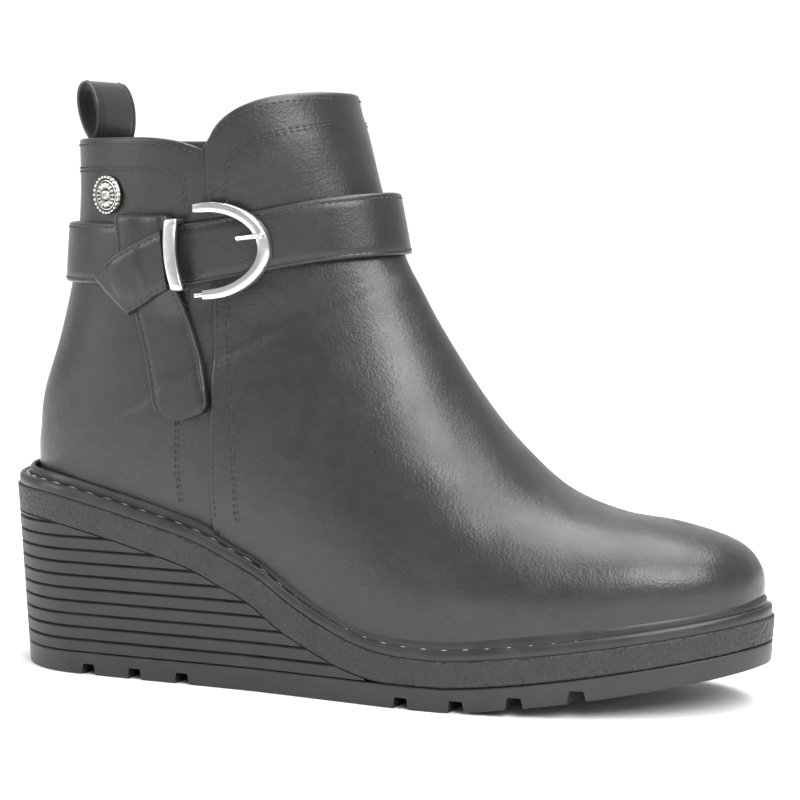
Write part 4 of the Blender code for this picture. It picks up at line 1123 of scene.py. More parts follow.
def make_band(surface):
    inner, outer = [], []
    shares = [i / STRAP_STEPS for i in range(STRAP_STEPS + 1)]
    seats = [strap_seat(surface, share) for share in shares]
    for i, share in enumerate(shares):
        near_seats = seats[max(i - 3, 0):i + 4]
        low = max(seat[0] for seat in near_seats)
        high = max(seat[1] for seat in near_seats)
        mean_low = sum(seat[0] for seat in near_seats) / len(near_seats)
        mean_high = sum(seat[1] for seat in near_seats) / len(near_seats)
        low, high = 0.5 * (low + mean_low) + STRAP_GAP, 0.5 * (high + mean_high) + STRAP_GAP
        point, outward = strap_station(share)
        near, far = [], []
        for across, thick in ROUND_COLUMNS:
            base = low + (high - low) * 0.5 * (1 + across)
            place = point + Vector((0.0, 0.0, 0.5 * across * STRAP_WIDTH))
            near.append(place + base * outward)
            far.append(place + (base + thick * STRAP_THICKNESS) * outward)
        inner.append(near)
        outer.append(far)
    return ribbon("band", inner, outer), outer


def make_tail(surface):
    fold = strap_height(KNOT_X) + 0.5 * STRAP_WIDTH + HOOK_GAP
    top = fold + TAIL_THICKNESS
    out = Vector((0.0, -TAIL_THICKNESS, 0.0))
    up = Vector((0.0, 0.0, TAIL_THICKNESS))
    start, end = fold - 0.3 * TAIL_THICKNESS, top - TAIL_LENGTH
    shares = [i / 40 for i in range(34)]
    shares += [0.845 + 0.155 * math.sin(0.5 * math.pi * i / 14) for i in range(15)]
    heights = [start + (end - start) * share for share in shares]
    edges = [tail_edges(z, top) for z in heights]
    spacing = (start - end) / 40
    grid = strip_grid(edges, lambda x, z: surface.seat(x, z - 0.0006, 0.0016), spacing)
    inner, outer = [], []
    left, right = tail_edges(fold, top)
    root, bend = [], []
    for j, (across, thick) in enumerate(ROUND_COLUMNS):
        x = left[0] + (right[0] - left[0]) * 0.5 * (1 + across)
        root.append((x, surface.seat(x, fold + 0.5 * TAIL_THICKNESS, 0.0004) + 0.0003, fold))
        bend.append((x, grid[0][j][1], fold))
    inner.append([Vector(p) for p in root])
    outer.append(pushed(root, up))
    for k in range(5):
        angle = 0.5 * math.pi * k / 4
        inner.append([Vector(p) for p in bend] if k < 4 else [Vector(p) for p in grid[0]])
        outer.append(pushed(bend if k < 4 else grid[0], math.cos(angle) * up + math.sin(angle) * out))
    for row in grid[1:]:
        inner.append([Vector(p) for p in row])
        outer.append(pushed(row, out))
    return ribbon("tail", inner, outer), outer[5:]


def wrap_edges(count):
    """Pairs of lower and upper edge places along the wrap, from the bar to the fold."""
    table = [(i / (len(WRAP_ROWS) - 1), *row) for i, row in enumerate(WRAP_ROWS)]
    edges = []
    for i in range(count + 1):
        share = i / count
        values = [read_table(table, column, share) for column in (1, 2, 3, 4)]
        edges.append((knot_place(values[2], values[3]), knot_place(values[0], values[1])))
    return edges


def make_wrap(upper, surface):
    layers = STRAP_GAP + STRAP_THICKNESS + TAIL_THICKNESS + 0.5 * KNOT_SLACK
    out = Vector((0.0, -WRAP_THICKNESS, 0.0))

    def over_knot(x, z):
        return min(upper.seat(x, z, 0.002) - layers, surface.seat(x, z, 0.002))

    edges = wrap_edges(26)
    grid = strip_grid(edges, over_knot, WRAP_LENGTH / 26)
    low, high = edges[-1]
    back = Vector((low[1] - high[1], 0.0, high[0] - low[0])).normalized() * WRAP_THICKNESS
    inner = [[Vector(p) for p in row] for row in grid]
    outer = [pushed(row, out) for row in grid]
    fold = grid[-1]
    for k in range(1, 5):
        angle = 0.5 * math.pi * k / 4
        inner.append([Vector(p) for p in fold])
        outer.append(pushed(fold, math.cos(angle) * out + math.sin(angle) * back))
    root = [(p[0], surface.seat(p[0], p[2], 0.0015), p[2]) for p in fold]
    inner.append([Vector(p) for p in root])
    outer.append(pushed(root, back))
    return ribbon("wrap", inner, outer), outer[:27]


def make_bar(upper, surface):
    low = strap_height(KNOT_X) - 0.5 * BAR_LENGTH
    layers = STRAP_GAP + STRAP_THICKNESS + TAIL_THICKNESS + KNOT_SLACK
    plate_low, plate_high = low + BAR_THICKNESS, low + BAR_LENGTH - BAR_THICKNESS
    steps = 24
    depths = []
    for i in range(steps + 1):
        x, z = bar_middle(i / steps), plate_low + (plate_high - plate_low) * i / steps
        depths.append(min(upper.seat(x, z, BAR_WIDTH) - layers, surface.seat(x, z, BAR_WIDTH)))
    face = min(depths)
    out = Vector((0.0, -BAR_THICKNESS, 0.0))
    down = Vector((0.0, 0.0, -BAR_THICKNESS))
    inner, outer = [], []

    def add(share, z, y, push):
        near, far = [], []
        for across, thick in METAL_COLUMNS:
            x = bar_middle(share) + 0.5 * across * BAR_WIDTH
            near.append(Vector((x, y, z)))
            far.append(Vector((x, y, z)) + (0.25 + 0.75 * thick) * push)
        inner.append(near)
        outer.append(far)

    add(0.0, plate_low, min(face + 0.004, surface.seat(bar_middle(0.0), plate_low, 0.0024) - GAP), down)
    for k in range(5):
        angle = 0.5 * math.pi * k / 4
        add(0.0, plate_low, face, math.cos(angle) * down + math.sin(angle) * out)
    for i in range(1, steps):
        add(i / steps, plate_low + (plate_high - plate_low) * i / steps, face, out)
    for k in range(5):
        angle = 0.5 * math.pi * k / 4
        add(1.0, plate_high, face, math.cos(angle) * out - math.sin(angle) * down)
    add(1.0, plate_high, face + 0.004, -down)
    return ribbon("bar", inner, outer)


def make_frame(surface):
    """Polished D with a rounded face."""
    tilt = math.radians(FRAME_TILT)
    middle = KNOT_X + FRAME_OFFSET
    stations = [middle - 0.012 + 0.002 * i for i in range(20)]
    seats = [frame_seat(surface, x) for x in stations]
    inner, outer = [], []
    for u, v, angle, width in frame_rows():
        normal = Vector((FRAME_HEIGHT * math.cos(angle), 2 * FRAME_REACH * math.sin(angle))).normalized()
        near, far = [], []
        for across, thick in METAL_COLUMNS:
            a = u + 0.5 * across * width * FRAME_FACE * normal.x
            b = v + 0.5 * across * width * FRAME_FACE * normal.y
            x = middle + a * math.cos(tilt) - b * math.sin(tilt)
            z = strap_height(middle) + a * math.sin(tilt) + b * math.cos(tilt)
            y = float(np.interp(x, stations, seats))
            near.append(Vector((x, y, z)))
            far.append(Vector((x, y - (0.3 + 0.7 * thick) * FRAME_THICKNESS, z)))
        inner.append(near)
        outer.append(far)
    return ribbon("frame", inner, outer)


def tube(name, path, radius, sides=12, flat=1.0):
    """Closed round bar through points, with rounded ends."""
    points = [Vector(p) for p in path]
    bm = bmesh.new()
    rings = []
    first = (points[1] - points[0]).normalized()
    last = (points[-1] - points[-2]).normalized()
    course = [(points[0] - 0.6 * radius * first, 0.45), (points[0] - 0.3 * radius * first, 0.8)]
    course += [(p, 1.0) for p in points]
    course += [(points[-1] + 0.3 * radius * last, 0.8), (points[-1] + 0.6 * radius * last, 0.45)]
    for i, (place, share) in enumerate(course):
        ahead = course[min(i + 1, len(course) - 1)][0]
        behind = course[max(i - 1, 0)][0]
        tangent = (ahead - behind).normalized()
        side = tangent.cross(Vector((0.0, 0.0, 1.0)))
        side = side.normalized() if side.length > 1e-6 else Vector((1.0, 0.0, 0.0))
        lift = side.cross(tangent)
        ring = []
        for k in range(sides):
            angle = 2 * math.pi * k / sides
            ring.append(bm.verts.new(
                place + share * radius * (math.cos(angle) * side * flat + math.sin(angle) * lift)
            ))
        rings.append(ring)
    for low, high in zip(rings, rings[1:]):
        for i in range(sides):
            j = (i + 1) % sides
            bm.faces.new((low[i], low[j], high[j], high[i]))
    bm.faces.new(rings[0])
    bm.faces.new(rings[-1])
    return make_object(name, bm)


def make_prong(surface):
    tip = KNOT_X + FRAME_OFFSET + FRAME_REACH - 0.5 * FRAME_FACE
    root = tip - PRONG_LENGTH
    radius = 0.5 * PRONG_DIAMETER
    over = frame_seat(surface, tip) - FRAME_THICKNESS - radius
    start = frame_seat(surface, root) + 0.3 * radius
    path = []
    for i in range(15):
        share = i / 14
        rise = 3 * min(share / 0.62, 1.0) ** 2 - 2 * min(share / 0.62, 1.0) ** 3
        x = root + (tip + 0.2 * radius - root) * share
        z = strap_height(tip) + math.sin(math.radians(FRAME_TILT)) * (x - root)
        path.append((x, start + (over - start) * rise, z))
    return tube("prong", path, radius, 16)


def make_hole(surface):
    """Punched hole in the strap, where the prong comes out, as a shallow cone whose near-black leather is
    painted shade for the hole's depth.
    """
    tip = KNOT_X + FRAME_OFFSET + FRAME_REACH - 0.5 * FRAME_FACE
    x = tip - PRONG_LENGTH - 0.0006
    z = strap_height(tip)
    y = surface.side(x, z).y
    bm = bmesh.new()
    rim = [
        bm.verts.new((x + 0.0016 * math.cos(a), y - 0.00005, z + 0.0014 * math.sin(a)))
        for a in [2 * math.pi * i / 24 for i in range(24)]
    ]
    middle = bm.verts.new((x, y + 0.0004, z))
    for i in range(24):
        bm.faces.new((rim[i], rim[(i + 1) % 24], middle))
    return make_object("strap_hole", bm)


def make_rosette(upper):
    """Round rosette of beads, a plain ring, petals and a small boss."""
    radius = 0.5 * ORNAMENT_DIAMETER
    centre = upper.side(ORNAMENT_X, ORNAMENT_Z)
    along = upper.side(ORNAMENT_X + radius, ORNAMENT_Z) - upper.side(ORNAMENT_X - radius, ORNAMENT_Z)
    rise = upper.side(ORNAMENT_X, ORNAMENT_Z + radius) - upper.side(ORNAMENT_X, ORNAMENT_Z - radius)
    outward = along.cross(rise).normalized()
    along = rise.cross(outward).normalized()
    rise = outward.cross(along)
    count = 192
    bm = bmesh.new()
    shade = bm.verts.layers.float.new("patina")
    rings = []
    for ring_radius, height, wave_depth, waves, patina in ROSETTE_RINGS:
        ring = []
        for i in range(count):
            angle = 2 * math.pi * i / count
            wave = math.cos(waves * angle)
            far = ring_radius + 0.25 * wave_depth * wave
            high = height * (1 + 1.6 * wave_depth * wave)
            spoke = math.cos(angle) * along + math.sin(angle) * rise
            vert = bm.verts.new(
                centre + far * radius * spoke + (0.0003 + high * ORNAMENT_HEIGHT) * outward
            )
            vert[shade] = clamp(patina + (0.5 if wave < -0.4 and wave_depth > 0 else 0.0), 0.0, 1.0)
            ring.append(vert)
        rings.append(ring)
    for low, high in zip(rings, rings[1:]):
        for i in range(count):
            j = (i + 1) % count
            bm.faces.new((low[i], low[j], high[j], high[i]))
    bm.faces.new(rings[0])
    bm.faces.new(rings[-1])
    beads = 24
    for k in range(beads):
        angle = 2 * math.pi * k / beads
        place = centre + 0.925 * radius * (math.cos(angle) * along + math.sin(angle) * rise)
        place += (0.0003 + 0.62 * ORNAMENT_HEIGHT) * outward
        bmesh.ops.create_uvsphere(
            bm, u_segments=12, v_segments=8, radius=0.075 * radius, matrix=Matrix.Translation(place)
        )
    return make_object("rosette", bm)


def make_loop(upper):
    """Folded pull loop with rounded edges."""
    half = 0.5 * LOOP_WIDTH
    centre = 0.5 * last_x(SECTIONS[-2][2])
    rear = 0.0
    for share in (-1.0, -0.5, 0.0, 0.5, 1.0):
        for depth in (0.002, 0.5 * LOOP_TAB, LOOP_TAB):
            start = Vector((centre, share * half, COLLAR_BACK_HEIGHT - depth))
            hit = upper.cast(start, Vector((-1.0, 0.0, 0.0)))
            rear = max(rear, hit.x) if hit is not None else rear
    path = loop_path(rear + GAP)
    inner, outer = [], []
    for i, (x, z) in enumerate(path):
        ahead = path[min(i + 1, len(path) - 1)]
        behind = path[max(i - 1, 0)]
        normal = Vector((behind[1] - ahead[1], 0.0, ahead[0] - behind[0])).normalized()
        near, far = [], []
        for across, thick in ROUND_COLUMNS:
            side = Vector((0.0, across * half, 0.0))
            near.append(Vector((x, 0.0, z)) + side - 0.5 * LOOP_THICKNESS * normal)
            far.append(Vector((x, 0.0, z)) + side + (thick - 0.5) * LOOP_THICKNESS * normal)
        inner.append(near)
        outer.append(far)
    return ribbon("loop", inner, outer), outer


def spaced(points, pitch):
    """Places and directions at an even pitch along a line of points."""
    places = []
    points = [Vector(p) for p in points]
    lengths = [0.0]
    for a, b in zip(points, points[1:]):
        lengths.append(lengths[-1] + (b - a).length)
    count = max(int(lengths[-1] / pitch), 1)
    index = 0
    for k in range(count):
        target = (k + 0.5) * lengths[-1] / count
        while index < len(points) - 2 and lengths[index + 1] < target:
            index += 1
        span = max(lengths[index + 1] - lengths[index], 1e-9)
        share = (target - lengths[index]) / span
        place = points[index].lerp(points[index + 1], clamp(share, 0.0, 1.0))
        places.append((place, (points[index + 1] - points[index]).normalized()))
    return places


def add_stitches(
    bm, points, outward_at, pitch=STITCH_PITCH, length=STITCH_LENGTH, radius=THREAD_RADIUS
):
    """Short plump stitches along a line, half sunk in the leather."""
    sides = 6
    for place, tangent in spaced(points, pitch):
        outward = outward_at(place)
        side = tangent.cross(outward).normalized()
        rings = []
        for along, share, sink in STITCH_FORM:
            middle = place + along * length * tangent + sink * radius * outward
            ring = []
            for k in range(sides):
                angle = 2 * math.pi * k / sides
                ring.append(bm.verts.new(
                    middle + share * radius * (math.cos(angle) * side + math.sin(angle) * outward)
                ))
            rings.append(ring)
        for low, high in zip(rings, rings[1:]):
            for i in range(sides):
                j = (i + 1) % sides
                bm.faces.new((low[i], low[j], high[j], high[i]))
        bm.faces.new(rings[0])
        bm.faces.new(rings[-1])


def on_surface(surface, line, side):
    """Places on the outer (-1) or inner (1) face of the upper along a line of x and z, finely spaced."""
    fine = []
    for (x0, z0), (x1, z1) in zip(line, line[1:]):
        count = max(int(math.hypot(x1 - x0, z1 - z0) / 0.0015), 1)
        fine += [(x0 + (x1 - x0) * k / count, z0 + (z1 - z0) * k / count) for k in range(count)]
    fine.append(line[-1])
    places = []
    for x, z in fine:
        hit = surface.cast(Vector((x, side * 2 * BALL_WIDTH, z)), Vector((0.0, -side, 0.0)))
        if hit is not None:
            places.append(hit)
    return places


def smooth_line(line, rounds=3):
    """Corner-cut version of a line, so that its bends are round."""
    for _ in range(rounds):
        cut = [line[0]]
        for (x0, z0), (x1, z1) in zip(line, line[1:]):
            cut.append((0.75 * x0 + 0.25 * x1, 0.75 * z0 + 0.25 * z1))
            cut.append((0.25 * x0 + 0.75 * x1, 0.25 * z0 + 0.75 * z1))
        cut.append(line[-1])
        line = cut
    return line


def make_upper_stitches(surface):
    bm = bmesh.new()
    centre = Vector((0.5 * (last_x(SECTIONS[-2][0]) + last_x(SECTIONS[-2][2])), 0.0, 0.0))

    def outward_at(place):
        if place.z > 0.1:
            return Vector((place.x - centre.x, 1.6 * place.y, 0.0)).normalized()
        return Vector((0.0, math.copysign(1.0, place.y), 0.0))

    rear_edge = [(0.0262 + 0.0006 * i, 0.0) for i in range(100)]
    rear_end = PANEL_SEAM_X - 0.0015
    rear_edge = [(x, collar_height(x) - STITCH_MARGIN - 0.0006) for x, z in rear_edge if x < rear_end]
    front_edge = [(PANEL_SEAM_X + 0.0022 + 0.0007 * i, 0.0) for i in range(60)]
    front_end = 0.1208
    front_edge = [
        (x + 0.0004, collar_height(x) - STITCH_MARGIN - 0.0008) for x, z in front_edge if x < front_end
    ]
    for side in (-1, 1):
        for line in (REAR_TOP_LINE, FRONT_LINE):
            smooth = smooth_line(list(line))
            add_stitches(bm, on_surface(surface, smooth, side), outward_at)
            inner = []
            for i, (x, z) in enumerate(smooth):
                x0, z0 = smooth[max(i - 1, 0)]
                x1, z1 = smooth[min(i + 1, len(smooth) - 1)]
                size = math.hypot(x1 - x0, z1 - z0)
                turn = -1 if line is REAR_TOP_LINE else 1
                step = turn * DOUBLE_SPACING / size
                inner.append((x - step * (z1 - z0), z + step * (x1 - x0)))
            add_stitches(bm, on_surface(surface, inner, side), outward_at)
        for line in (SEAM_LINE, rear_edge, front_edge):
            add_stitches(bm, on_surface(surface, line, side), outward_at)
    return make_object("upper_stitches", bm)


def make_strap_stitches(rows_of_strips):
    """Stitches in both channels of each strip, given its outer rows."""
    bm = bmesh.new()
    channels = [j for j, (across, thick) in enumerate(ROUND_COLUMNS) if abs(abs(across) - 0.835) < 1e-6]
    for rows in rows_of_strips:
        for j in channels:
            line = [row[j] for row in rows]

            def outward_at(place, rows=rows, j=j):
                best = min(range(len(rows)), key=lambda k: (rows[k][j] - place).length_squared)
                a = rows[min(best + 1, len(rows) - 1)][j] - rows[max(best - 1, 0)][j]
                b = rows[best][j + 2] - rows[best][j - 2]
                normal = a.cross(b).normalized()
                away = rows[best][j] - Vector((0.075, 0.0, place.z))
                return normal if normal.dot(away) > 0 else -normal

            add_stitches(bm, line, outward_at)
    return make_object("strap_stitches", bm)


def make_welt_stitches():
    bm = bmesh.new()
    bead = UPPER_INSET - BEAD_WIDTH - PANEL_STEP
    edge = flared(foot_line, FLANGE_SETBACK)

    def inset(x):
        return edge(x) + FLANGE_EDGE + (bead - edge(x) - FLANGE_EDGE) * 0.66

    outer_side, inner_side = [], []
    for x in plan_stations(inset):
        centre, half = plan_at(x, inset)
        height = foot_line(x) + FLANGE_HEIGHT - WELT_THREAD_SINK
        outer_side.append(Vector((x, centre - half, height)))
        inner_side.append(Vector((x, centre + half, height)))
    loop = outer_side + inner_side[::-1]
    up = Vector((0.0, 0.0, 1.0))
    add_stitches(bm, loop, lambda place: up, WELT_STITCH_PITCH, WELT_STITCH_LENGTH, WELT_THREAD_RADIUS)
    return make_object("welt_stitches", bm)


def new_material(name, color, roughness, metallic=0.0):
    material = bpy.data.materials.new(name)
    material.use_nodes = True
    shader = material.node_tree.nodes["Principled BSDF"]
    shader.inputs["Base Color"].default_value = (*color, 1.0)
    shader.inputs["Roughness"].default_value = roughness
    shader.inputs["Metallic"].default_value = metallic
    return material


def texture(material, kind, scale, **inputs):
    """Texture node in the piece's own space."""
    nodes, links = material.node_tree.nodes, material.node_tree.links
    place = nodes.new("ShaderNodeTexCoord")
    node = nodes.new(kind)
    node.inputs["Scale"].default_value = scale
    for key, value in inputs.items():
        node.inputs[key.replace("_", " ").title()].default_value = value
    links.new(place.outputs["Object"], node.inputs["Vector"])
    return node


def ramp(material, value, low, high, start=0.3, end=0.7):
    """Map a value onto a range."""
    node = material.node_tree.nodes.new("ShaderNodeMapRange")
    node.inputs["From Min"].default_value = start
    node.inputs["From Max"].default_value = end
    node.inputs["To Min"].default_value = low
    node.inputs["To Max"].default_value = high
    material.node_tree.links.new(value, node.inputs["Value"])
    return node.outputs["Result"]


def blend(material, factor, dark, light):
    node = material.node_tree.nodes.new("ShaderNodeMix")
    node.data_type = "RGBA"
    node.inputs["A"].default_value = (*dark, 1.0)
    node.inputs["B"].default_value = (*light, 1.0)
    material.node_tree.links.new(factor, node.inputs["Factor"])
    return node.outputs["Result"]


def bump(material, height, distance, strength, below=None):
    node = material.node_tree.nodes.new("ShaderNodeBump")
    node.inputs["Distance"].default_value = distance
    node.inputs["Strength"].default_value = strength
    material.node_tree.links.new(height, node.inputs["Height"])
    if below is not None:
        material.node_tree.links.new(below, node.inputs["Normal"])
    return node.outputs["Normal"]


def set_shader(material, **sources):
    shader = material.node_tree.nodes["Principled BSDF"]
    for key, value in sources.items():
        socket = shader.inputs[key.replace("_", " ").title()]
        if isinstance(value, (int, float)):
            socket.default_value = value
        else:
            material.node_tree.links.new(value, socket)


def leather(name, dark=0.009, light=0.017, gloss=(0.30, 0.44), grain=1.0):
    """Black leather with pores, a fine grain, soft ripples and a worn sheen."""
    material = new_material(name, (dark, dark, dark), gloss[0])
    pores = texture(material, "ShaderNodeTexVoronoi", 1150.0)
    fine = texture(material, "ShaderNodeTexNoise", 900.0, detail=4.0, roughness=0.6)
    folds = texture(material, "ShaderNodeTexNoise", 240.0, detail=6.0, roughness=0.7, distortion=0.6)
    ripple = texture(material, "ShaderNodeTexNoise", 55.0, detail=3.0)
    normal = bump(material, ripple.outputs["Fac"], 0.0012, 0.22)
    normal = bump(material, folds.outputs["Fac"], 0.00045 * grain, 0.35, normal)
    normal = bump(material, pores.outputs["Distance"], 0.00022 * grain, 0.30, normal)
    normal = bump(material, fine.outputs["Fac"], 0.00016 * grain, 0.35, normal)
    patches = texture(material, "ShaderNodeTexNoise", 90.0, detail=5.0)
    rough = ramp(material, patches.outputs["Fac"], gloss[0], gloss[1])
    color = blend(material, ramp(material, folds.outputs["Fac"], 0.0, 1.0), (dark,) * 3, (light,) * 3)
    set_shader(material, base_color=color, roughness=rough, normal=normal)
    set_shader(material, coat_weight=0.18, coat_roughness=0.28)
    return material


def rubber(name, pebble, gloss):
    """Black rubber, smooth or with a pebbled face."""
    material = new_material(name, (0.016, 0.016, 0.017), gloss)
    fine = texture(material, "ShaderNodeTexNoise", 700.0, detail=3.0)
    broad = texture(material, "ShaderNodeTexNoise", 120.0, detail=4.0)
    normal = bump(material, fine.outputs["Fac"], 0.00012, 0.25)
    if pebble:
        cells = texture(material, "ShaderNodeTexVoronoi", 620.0, randomness=1.0)
        lumps = texture(material, "ShaderNodeTexNoise", 480.0, detail=2.0, distortion=0.8)
        normal = bump(material, lumps.outputs["Fac"], 0.0011, 0.85, normal)
        normal = bump(material, cells.outputs["Distance"], 0.0006, 0.7, normal)
    rough = ramp(material, broad.outputs["Fac"], gloss - 0.06, gloss + 0.08)
    color = blend(material, ramp(material, broad.outputs["Fac"], 0.0, 1.0), (0.012,) * 3, (0.022,) * 3)
    set_shader(material, base_color=color, roughness=rough, normal=normal)
    return material


def polished(name, color=(0.78, 0.77, 0.75), gloss=0.12):
    material = new_material(name, color, gloss, 1.0)
    smear = texture(material, "ShaderNodeTexNoise", 160.0, detail=4.0)
    scratch = texture(material, "ShaderNodeTexNoise", 1400.0, detail=2.0)
    normal = bump(material, scratch.outputs["Fac"], 0.00003, 0.12)
    set_shader(material, roughness=ramp(material, smear.outputs["Fac"], gloss, gloss + 0.12), normal=normal)
    return material


def aged(name):
    """Silver with dark patina where the rings are deep."""
    material = new_material(name, (0.6, 0.59, 0.57), 0.28, 1.0)
    nodes = material.node_tree.nodes
    mask = nodes.new("ShaderNodeAttribute")
    mask.attribute_name = "patina"
    spots = texture(material, "ShaderNodeTexNoise", 900.0, detail=3.0)
    color = blend(material, mask.outputs["Fac"], (0.70, 0.69, 0.66), (0.045, 0.043, 0.04))
    normal = bump(material, spots.outputs["Fac"], 0.00006, 0.3)
    rough = ramp(material, mask.outputs["Fac"], 0.22, 0.55, 0.0, 1.0)
    set_shader(material, base_color=color, roughness=rough, normal=normal)
    return material


def thread(name, color, gloss=0.55):
    material = new_material(name, color, gloss)
    twist = texture(material, "ShaderNodeTexWave", 900.0, distortion=2.0)
    normal = bump(material, twist.outputs["Fac"], 0.0002, 0.5)
    tint = texture(material, "ShaderNodeTexNoise", 500.0, detail=2.0)
    darker = tuple(0.75 * c for c in color)
    shade = blend(material, ramp(material, tint.outputs["Fac"], 0.0, 1.0), darker, color)
    set_shader(material, base_color=shade, normal=normal)
    return material


def lining(name, color):
    """Soft lining with a fine nap."""
    material = new_material(name, color, 0.85)
    nap = texture(material, "ShaderNodeTexNoise", 1500.0, detail=5.0, roughness=0.7)
    broad = texture(material, "ShaderNodeTexNoise", 130.0, detail=3.0)
    normal = bump(material, nap.outputs["Fac"], 0.0003, 0.5)
    lighter = tuple(1.5 * c for c in color)
    shade = blend(material, ramp(material, broad.outputs["Fac"], 0.0, 1.0), color, lighter)
    set_shader(material, base_color=shade, normal=normal, sheen_weight=0.2)
    return material


def finish(obj, material, angle=40.0):
    obj.data.materials.clear()
    obj.data.materials.append(material)
    obj.data.shade_smooth()
    if angle < 180:
        obj.data.set_sharp_from_angle(angle=math.radians(angle))


def seat_piece(obj, shift, slot, *nodes):
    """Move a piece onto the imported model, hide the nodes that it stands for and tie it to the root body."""
    obj.data.transform(Matrix.Translation(shift))
    if nodes:
        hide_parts(*nodes)
    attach(obj, "root")


def box_middle(obj):
    corners = [Vector(corner) for corner in obj.bound_box]
    return [0.5 * (min(c[k] for c in corners) + max(c[k] for c in corners)) for k in range(3)]


def make_lining_slot(shell):
    """Second material on the faces of the shell that look inward."""
    shell.data.materials.append(lining("upper_lining", (0.020, 0.019, 0.018)))
    for polygon in shell.data.polygons:
        middle = polygon.center
        if polygon.normal.dot(Vector((middle.x - 0.075, middle.y, 0.0))) < 0 and middle.z > 0.1:
            polygon.material_index = 1


def build_pieces():
    """Every piece in the boot's own frame, with its slot and the node that it stands for."""
    outsole = make_outsole_rubber()
    finish(outsole, rubber("outsole_finish", False, 0.42), 30.0)
    band = make_midsole_band()
    finish(band, rubber("midsole_finish", True, 0.5), 35.0)
    wedge = make_heel_wedge()
    finish(wedge, rubber("wedge_finish", False, 0.5), 25.0)
    welt = make_welt_strip()
    finish(welt, rubber("welt_finish", False, 0.38), 50.0)
    shell = make_upper_shell()
    finish(shell, leather("upper_finish"), 180.0)
    make_lining_slot(shell)
    panel = make_front_panel()
    finish(panel, leather("panel_finish"), 180.0)
    backstay = make_backstay()
    finish(backstay, leather("backstay_finish"), 180.0)
    upper = Surface([shell, panel, backstay])
    strap, strap_rows = make_band(upper)
    finish(strap, leather("strap_finish", grain=0.8), 50.0)
    tail, tail_rows = make_tail(Surface([shell, panel, strap]))
    finish(tail, leather("tail_finish", grain=0.8), 50.0)
    knot = Surface([shell, panel, strap, tail])
    wrap, wrap_rows = make_wrap(upper, knot)
    finish(wrap, leather("wrap_finish", grain=0.8), 50.0)
    bar = make_bar(upper, knot)
    finish(bar, polished("bar_finish"), 35.0)
    buckle = Surface([shell, panel, strap])
    frame_piece = make_frame(buckle)
    finish(frame_piece, polished("frame_finish"), 35.0)
    prong = make_prong(buckle)
    finish(prong, polished("prong_finish"), 35.0)
    hole = make_hole(buckle)
    # The hole's near-black leather is painted shade standing in for the depth of the punched hole; the strap
    # itself is not cut.
    finish(hole, leather("hole_painted_shade", 0.002, 0.004), 35.0)
    rosette = make_rosette(upper)
    finish(rosette, aged("rosette_finish"), 35.0)
    loop, loop_rows = make_loop(upper)
    finish(loop, leather("loop_finish", grain=0.8), 50.0)
    seams = make_upper_stitches(upper)
    finish(seams, thread("seam_thread", (0.030, 0.030, 0.030)), 180.0)
    strap_seams = make_strap_stitches([strap_rows, tail_rows, wrap_rows, loop_rows])
    finish(strap_seams, thread("strap_thread", (0.030, 0.030, 0.030)), 180.0)
    welt_seam = make_welt_stitches()
    finish(welt_seam, thread("welt_thread", (0.42, 0.42, 0.41)), 180.0)
    return (
        (outsole, "outsole_rubber", ("outsole",)),
        (band, "midsole_rubber", ("midsole",)),
        (wedge, "wedge_rubber", ("wedge",)),
        (welt, "welt_rubber", ("welt",)),
        (shell, "upper_leather", ("upper",)),
        (panel, "upper_leather", ()),
        (backstay, "upper_leather", ()),
        (strap, "strap_leather", ("ankle_strap",)),
        (tail, "tail_leather", ("strap_tail",)),
        (wrap, "wrap_leather", ("strap_wrap",)),
        (bar, "bar_metal", ("buckle_bar",)),
        (frame_piece, "frame_metal", ("buckle_frame",)),
        (prong, "prong_metal", ("buckle_prong",)),
        (hole, "strap_leather", ()),
        (rosette, "ornament_metal", ("ornament",)),
        (loop, "loop_leather", ("pull_loop",)),
        (seams, "upper_leather", ()),
        (strap_seams, "strap_leather", ()),
        (welt_seam, "welt_rubber", ()),
    )


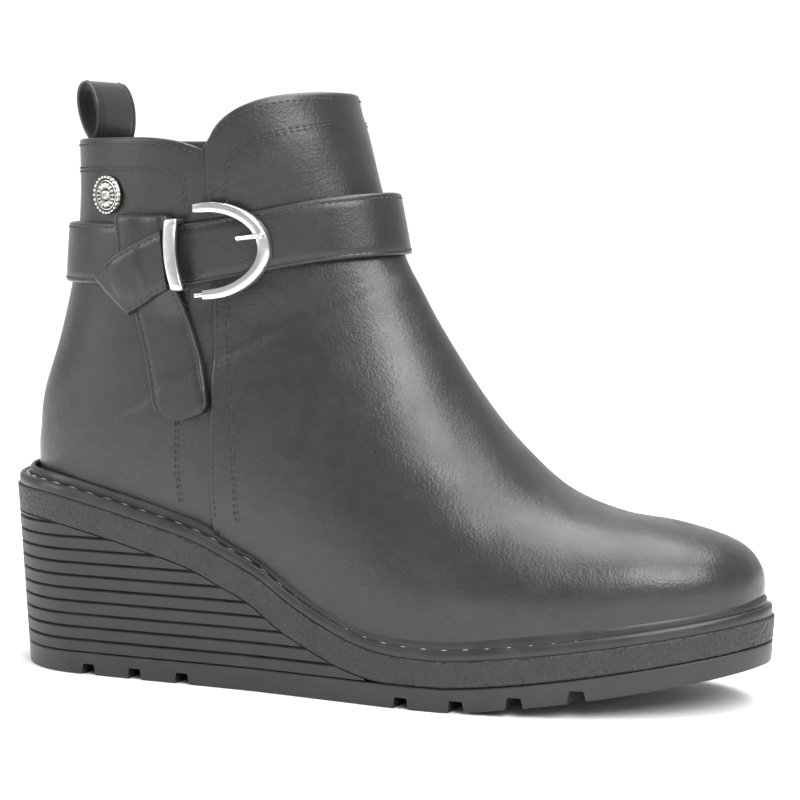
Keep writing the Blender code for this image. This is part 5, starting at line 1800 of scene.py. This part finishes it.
def make_floor():
    """Pale floor that sweeps up into a backdrop."""
    bm = bmesh.new()
    profile = [(-3.0, 0.0), (1.2, 0.0)]
    angles = [0.05 * math.pi * i for i in range(1, 11)]
    profile += [(1.2 + 1.2 * math.sin(a), 1.2 - 1.2 * math.cos(a)) for a in angles]
    profile.append((2.4, 4.0))
    near = [bm.verts.new((-4.0, y, z)) for y, z in profile]
    far = [bm.verts.new((4.0, y, z)) for y, z in profile]
    for i in range(len(profile) - 1):
        bm.faces.new((near[i], far[i], far[i + 1], near[i + 1]))
    floor = make_object("studio_floor", bm)
    floor.rotation_euler = (0.0, 0.0, math.radians(25.0))
    material = new_material("floor_finish", (0.90, 0.90, 0.90), 0.75)
    finish(floor, material, 60.0)


def add_light(name, place, target, size, power):
    data = bpy.data.lights.new(name, "AREA")
    data.shape = "RECTANGLE"
    data.size, data.size_y = size
    data.energy = power
    light = bpy.data.objects.new(name, data)
    light.location = place
    light.rotation_euler = (Vector(target) - Vector(place)).to_track_quat("-Z", "Y").to_euler()
    bpy.context.scene.collection.objects.link(light)


def make_studio(shift):
    add_light("key_light", (1.0, -0.75, 1.05), (0.05, 0.0, 0.06), (0.9, 0.9), 26.0)
    add_light("top_light", (0.15, 0.25, 1.5), (0.0, 0.0, 0.05), (1.6, 1.2), 34.0)
    add_light("left_light", (-1.2, -0.9, 0.8), (0.0, 0.0, 0.10), (0.8, 1.2), 12.0)
    world = bpy.data.worlds.new("studio")
    world.use_nodes = True
    world.node_tree.nodes["Background"].inputs["Color"].default_value = (1.0, 1.0, 1.0, 1.0)
    world.node_tree.nodes["Background"].inputs["Strength"].default_value = 0.55
    bpy.context.scene.world = world
    bpy.context.scene.view_settings.view_transform = "Standard"
    camera = bpy.data.cameras.new("photo_camera")
    camera.sensor_width = 36.0
    camera.lens = CAMERA_LENS
    view = bpy.data.objects.new("photo_camera", camera)
    view.location = Vector(CAMERA_PLACE) + shift
    view.rotation_euler = Vector(CAMERA_DIRECTION).to_track_quat("-Z", "Y").to_euler()
    bpy.context.scene.collection.objects.link(view)
    bpy.context.scene.camera = view


def main():
    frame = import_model()
    pieces = build_pieces()
    midsole = pieces[1][0]
    low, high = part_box("midsole")
    middle = box_middle(midsole)
    shift = Vector([0.5 * (low[k] + high[k]) - middle[k] for k in range(2)] + [0.0])
    for obj, slot, nodes in pieces:
        seat_piece(obj, shift, slot, *nodes)
    insole = frame["nodes"]["insole"]
    insole.data.materials.clear()
    insole.data.materials.append(lining("insole_finish", (0.05, 0.046, 0.042)))
    make_floor()
    make_studio(shift)


main()
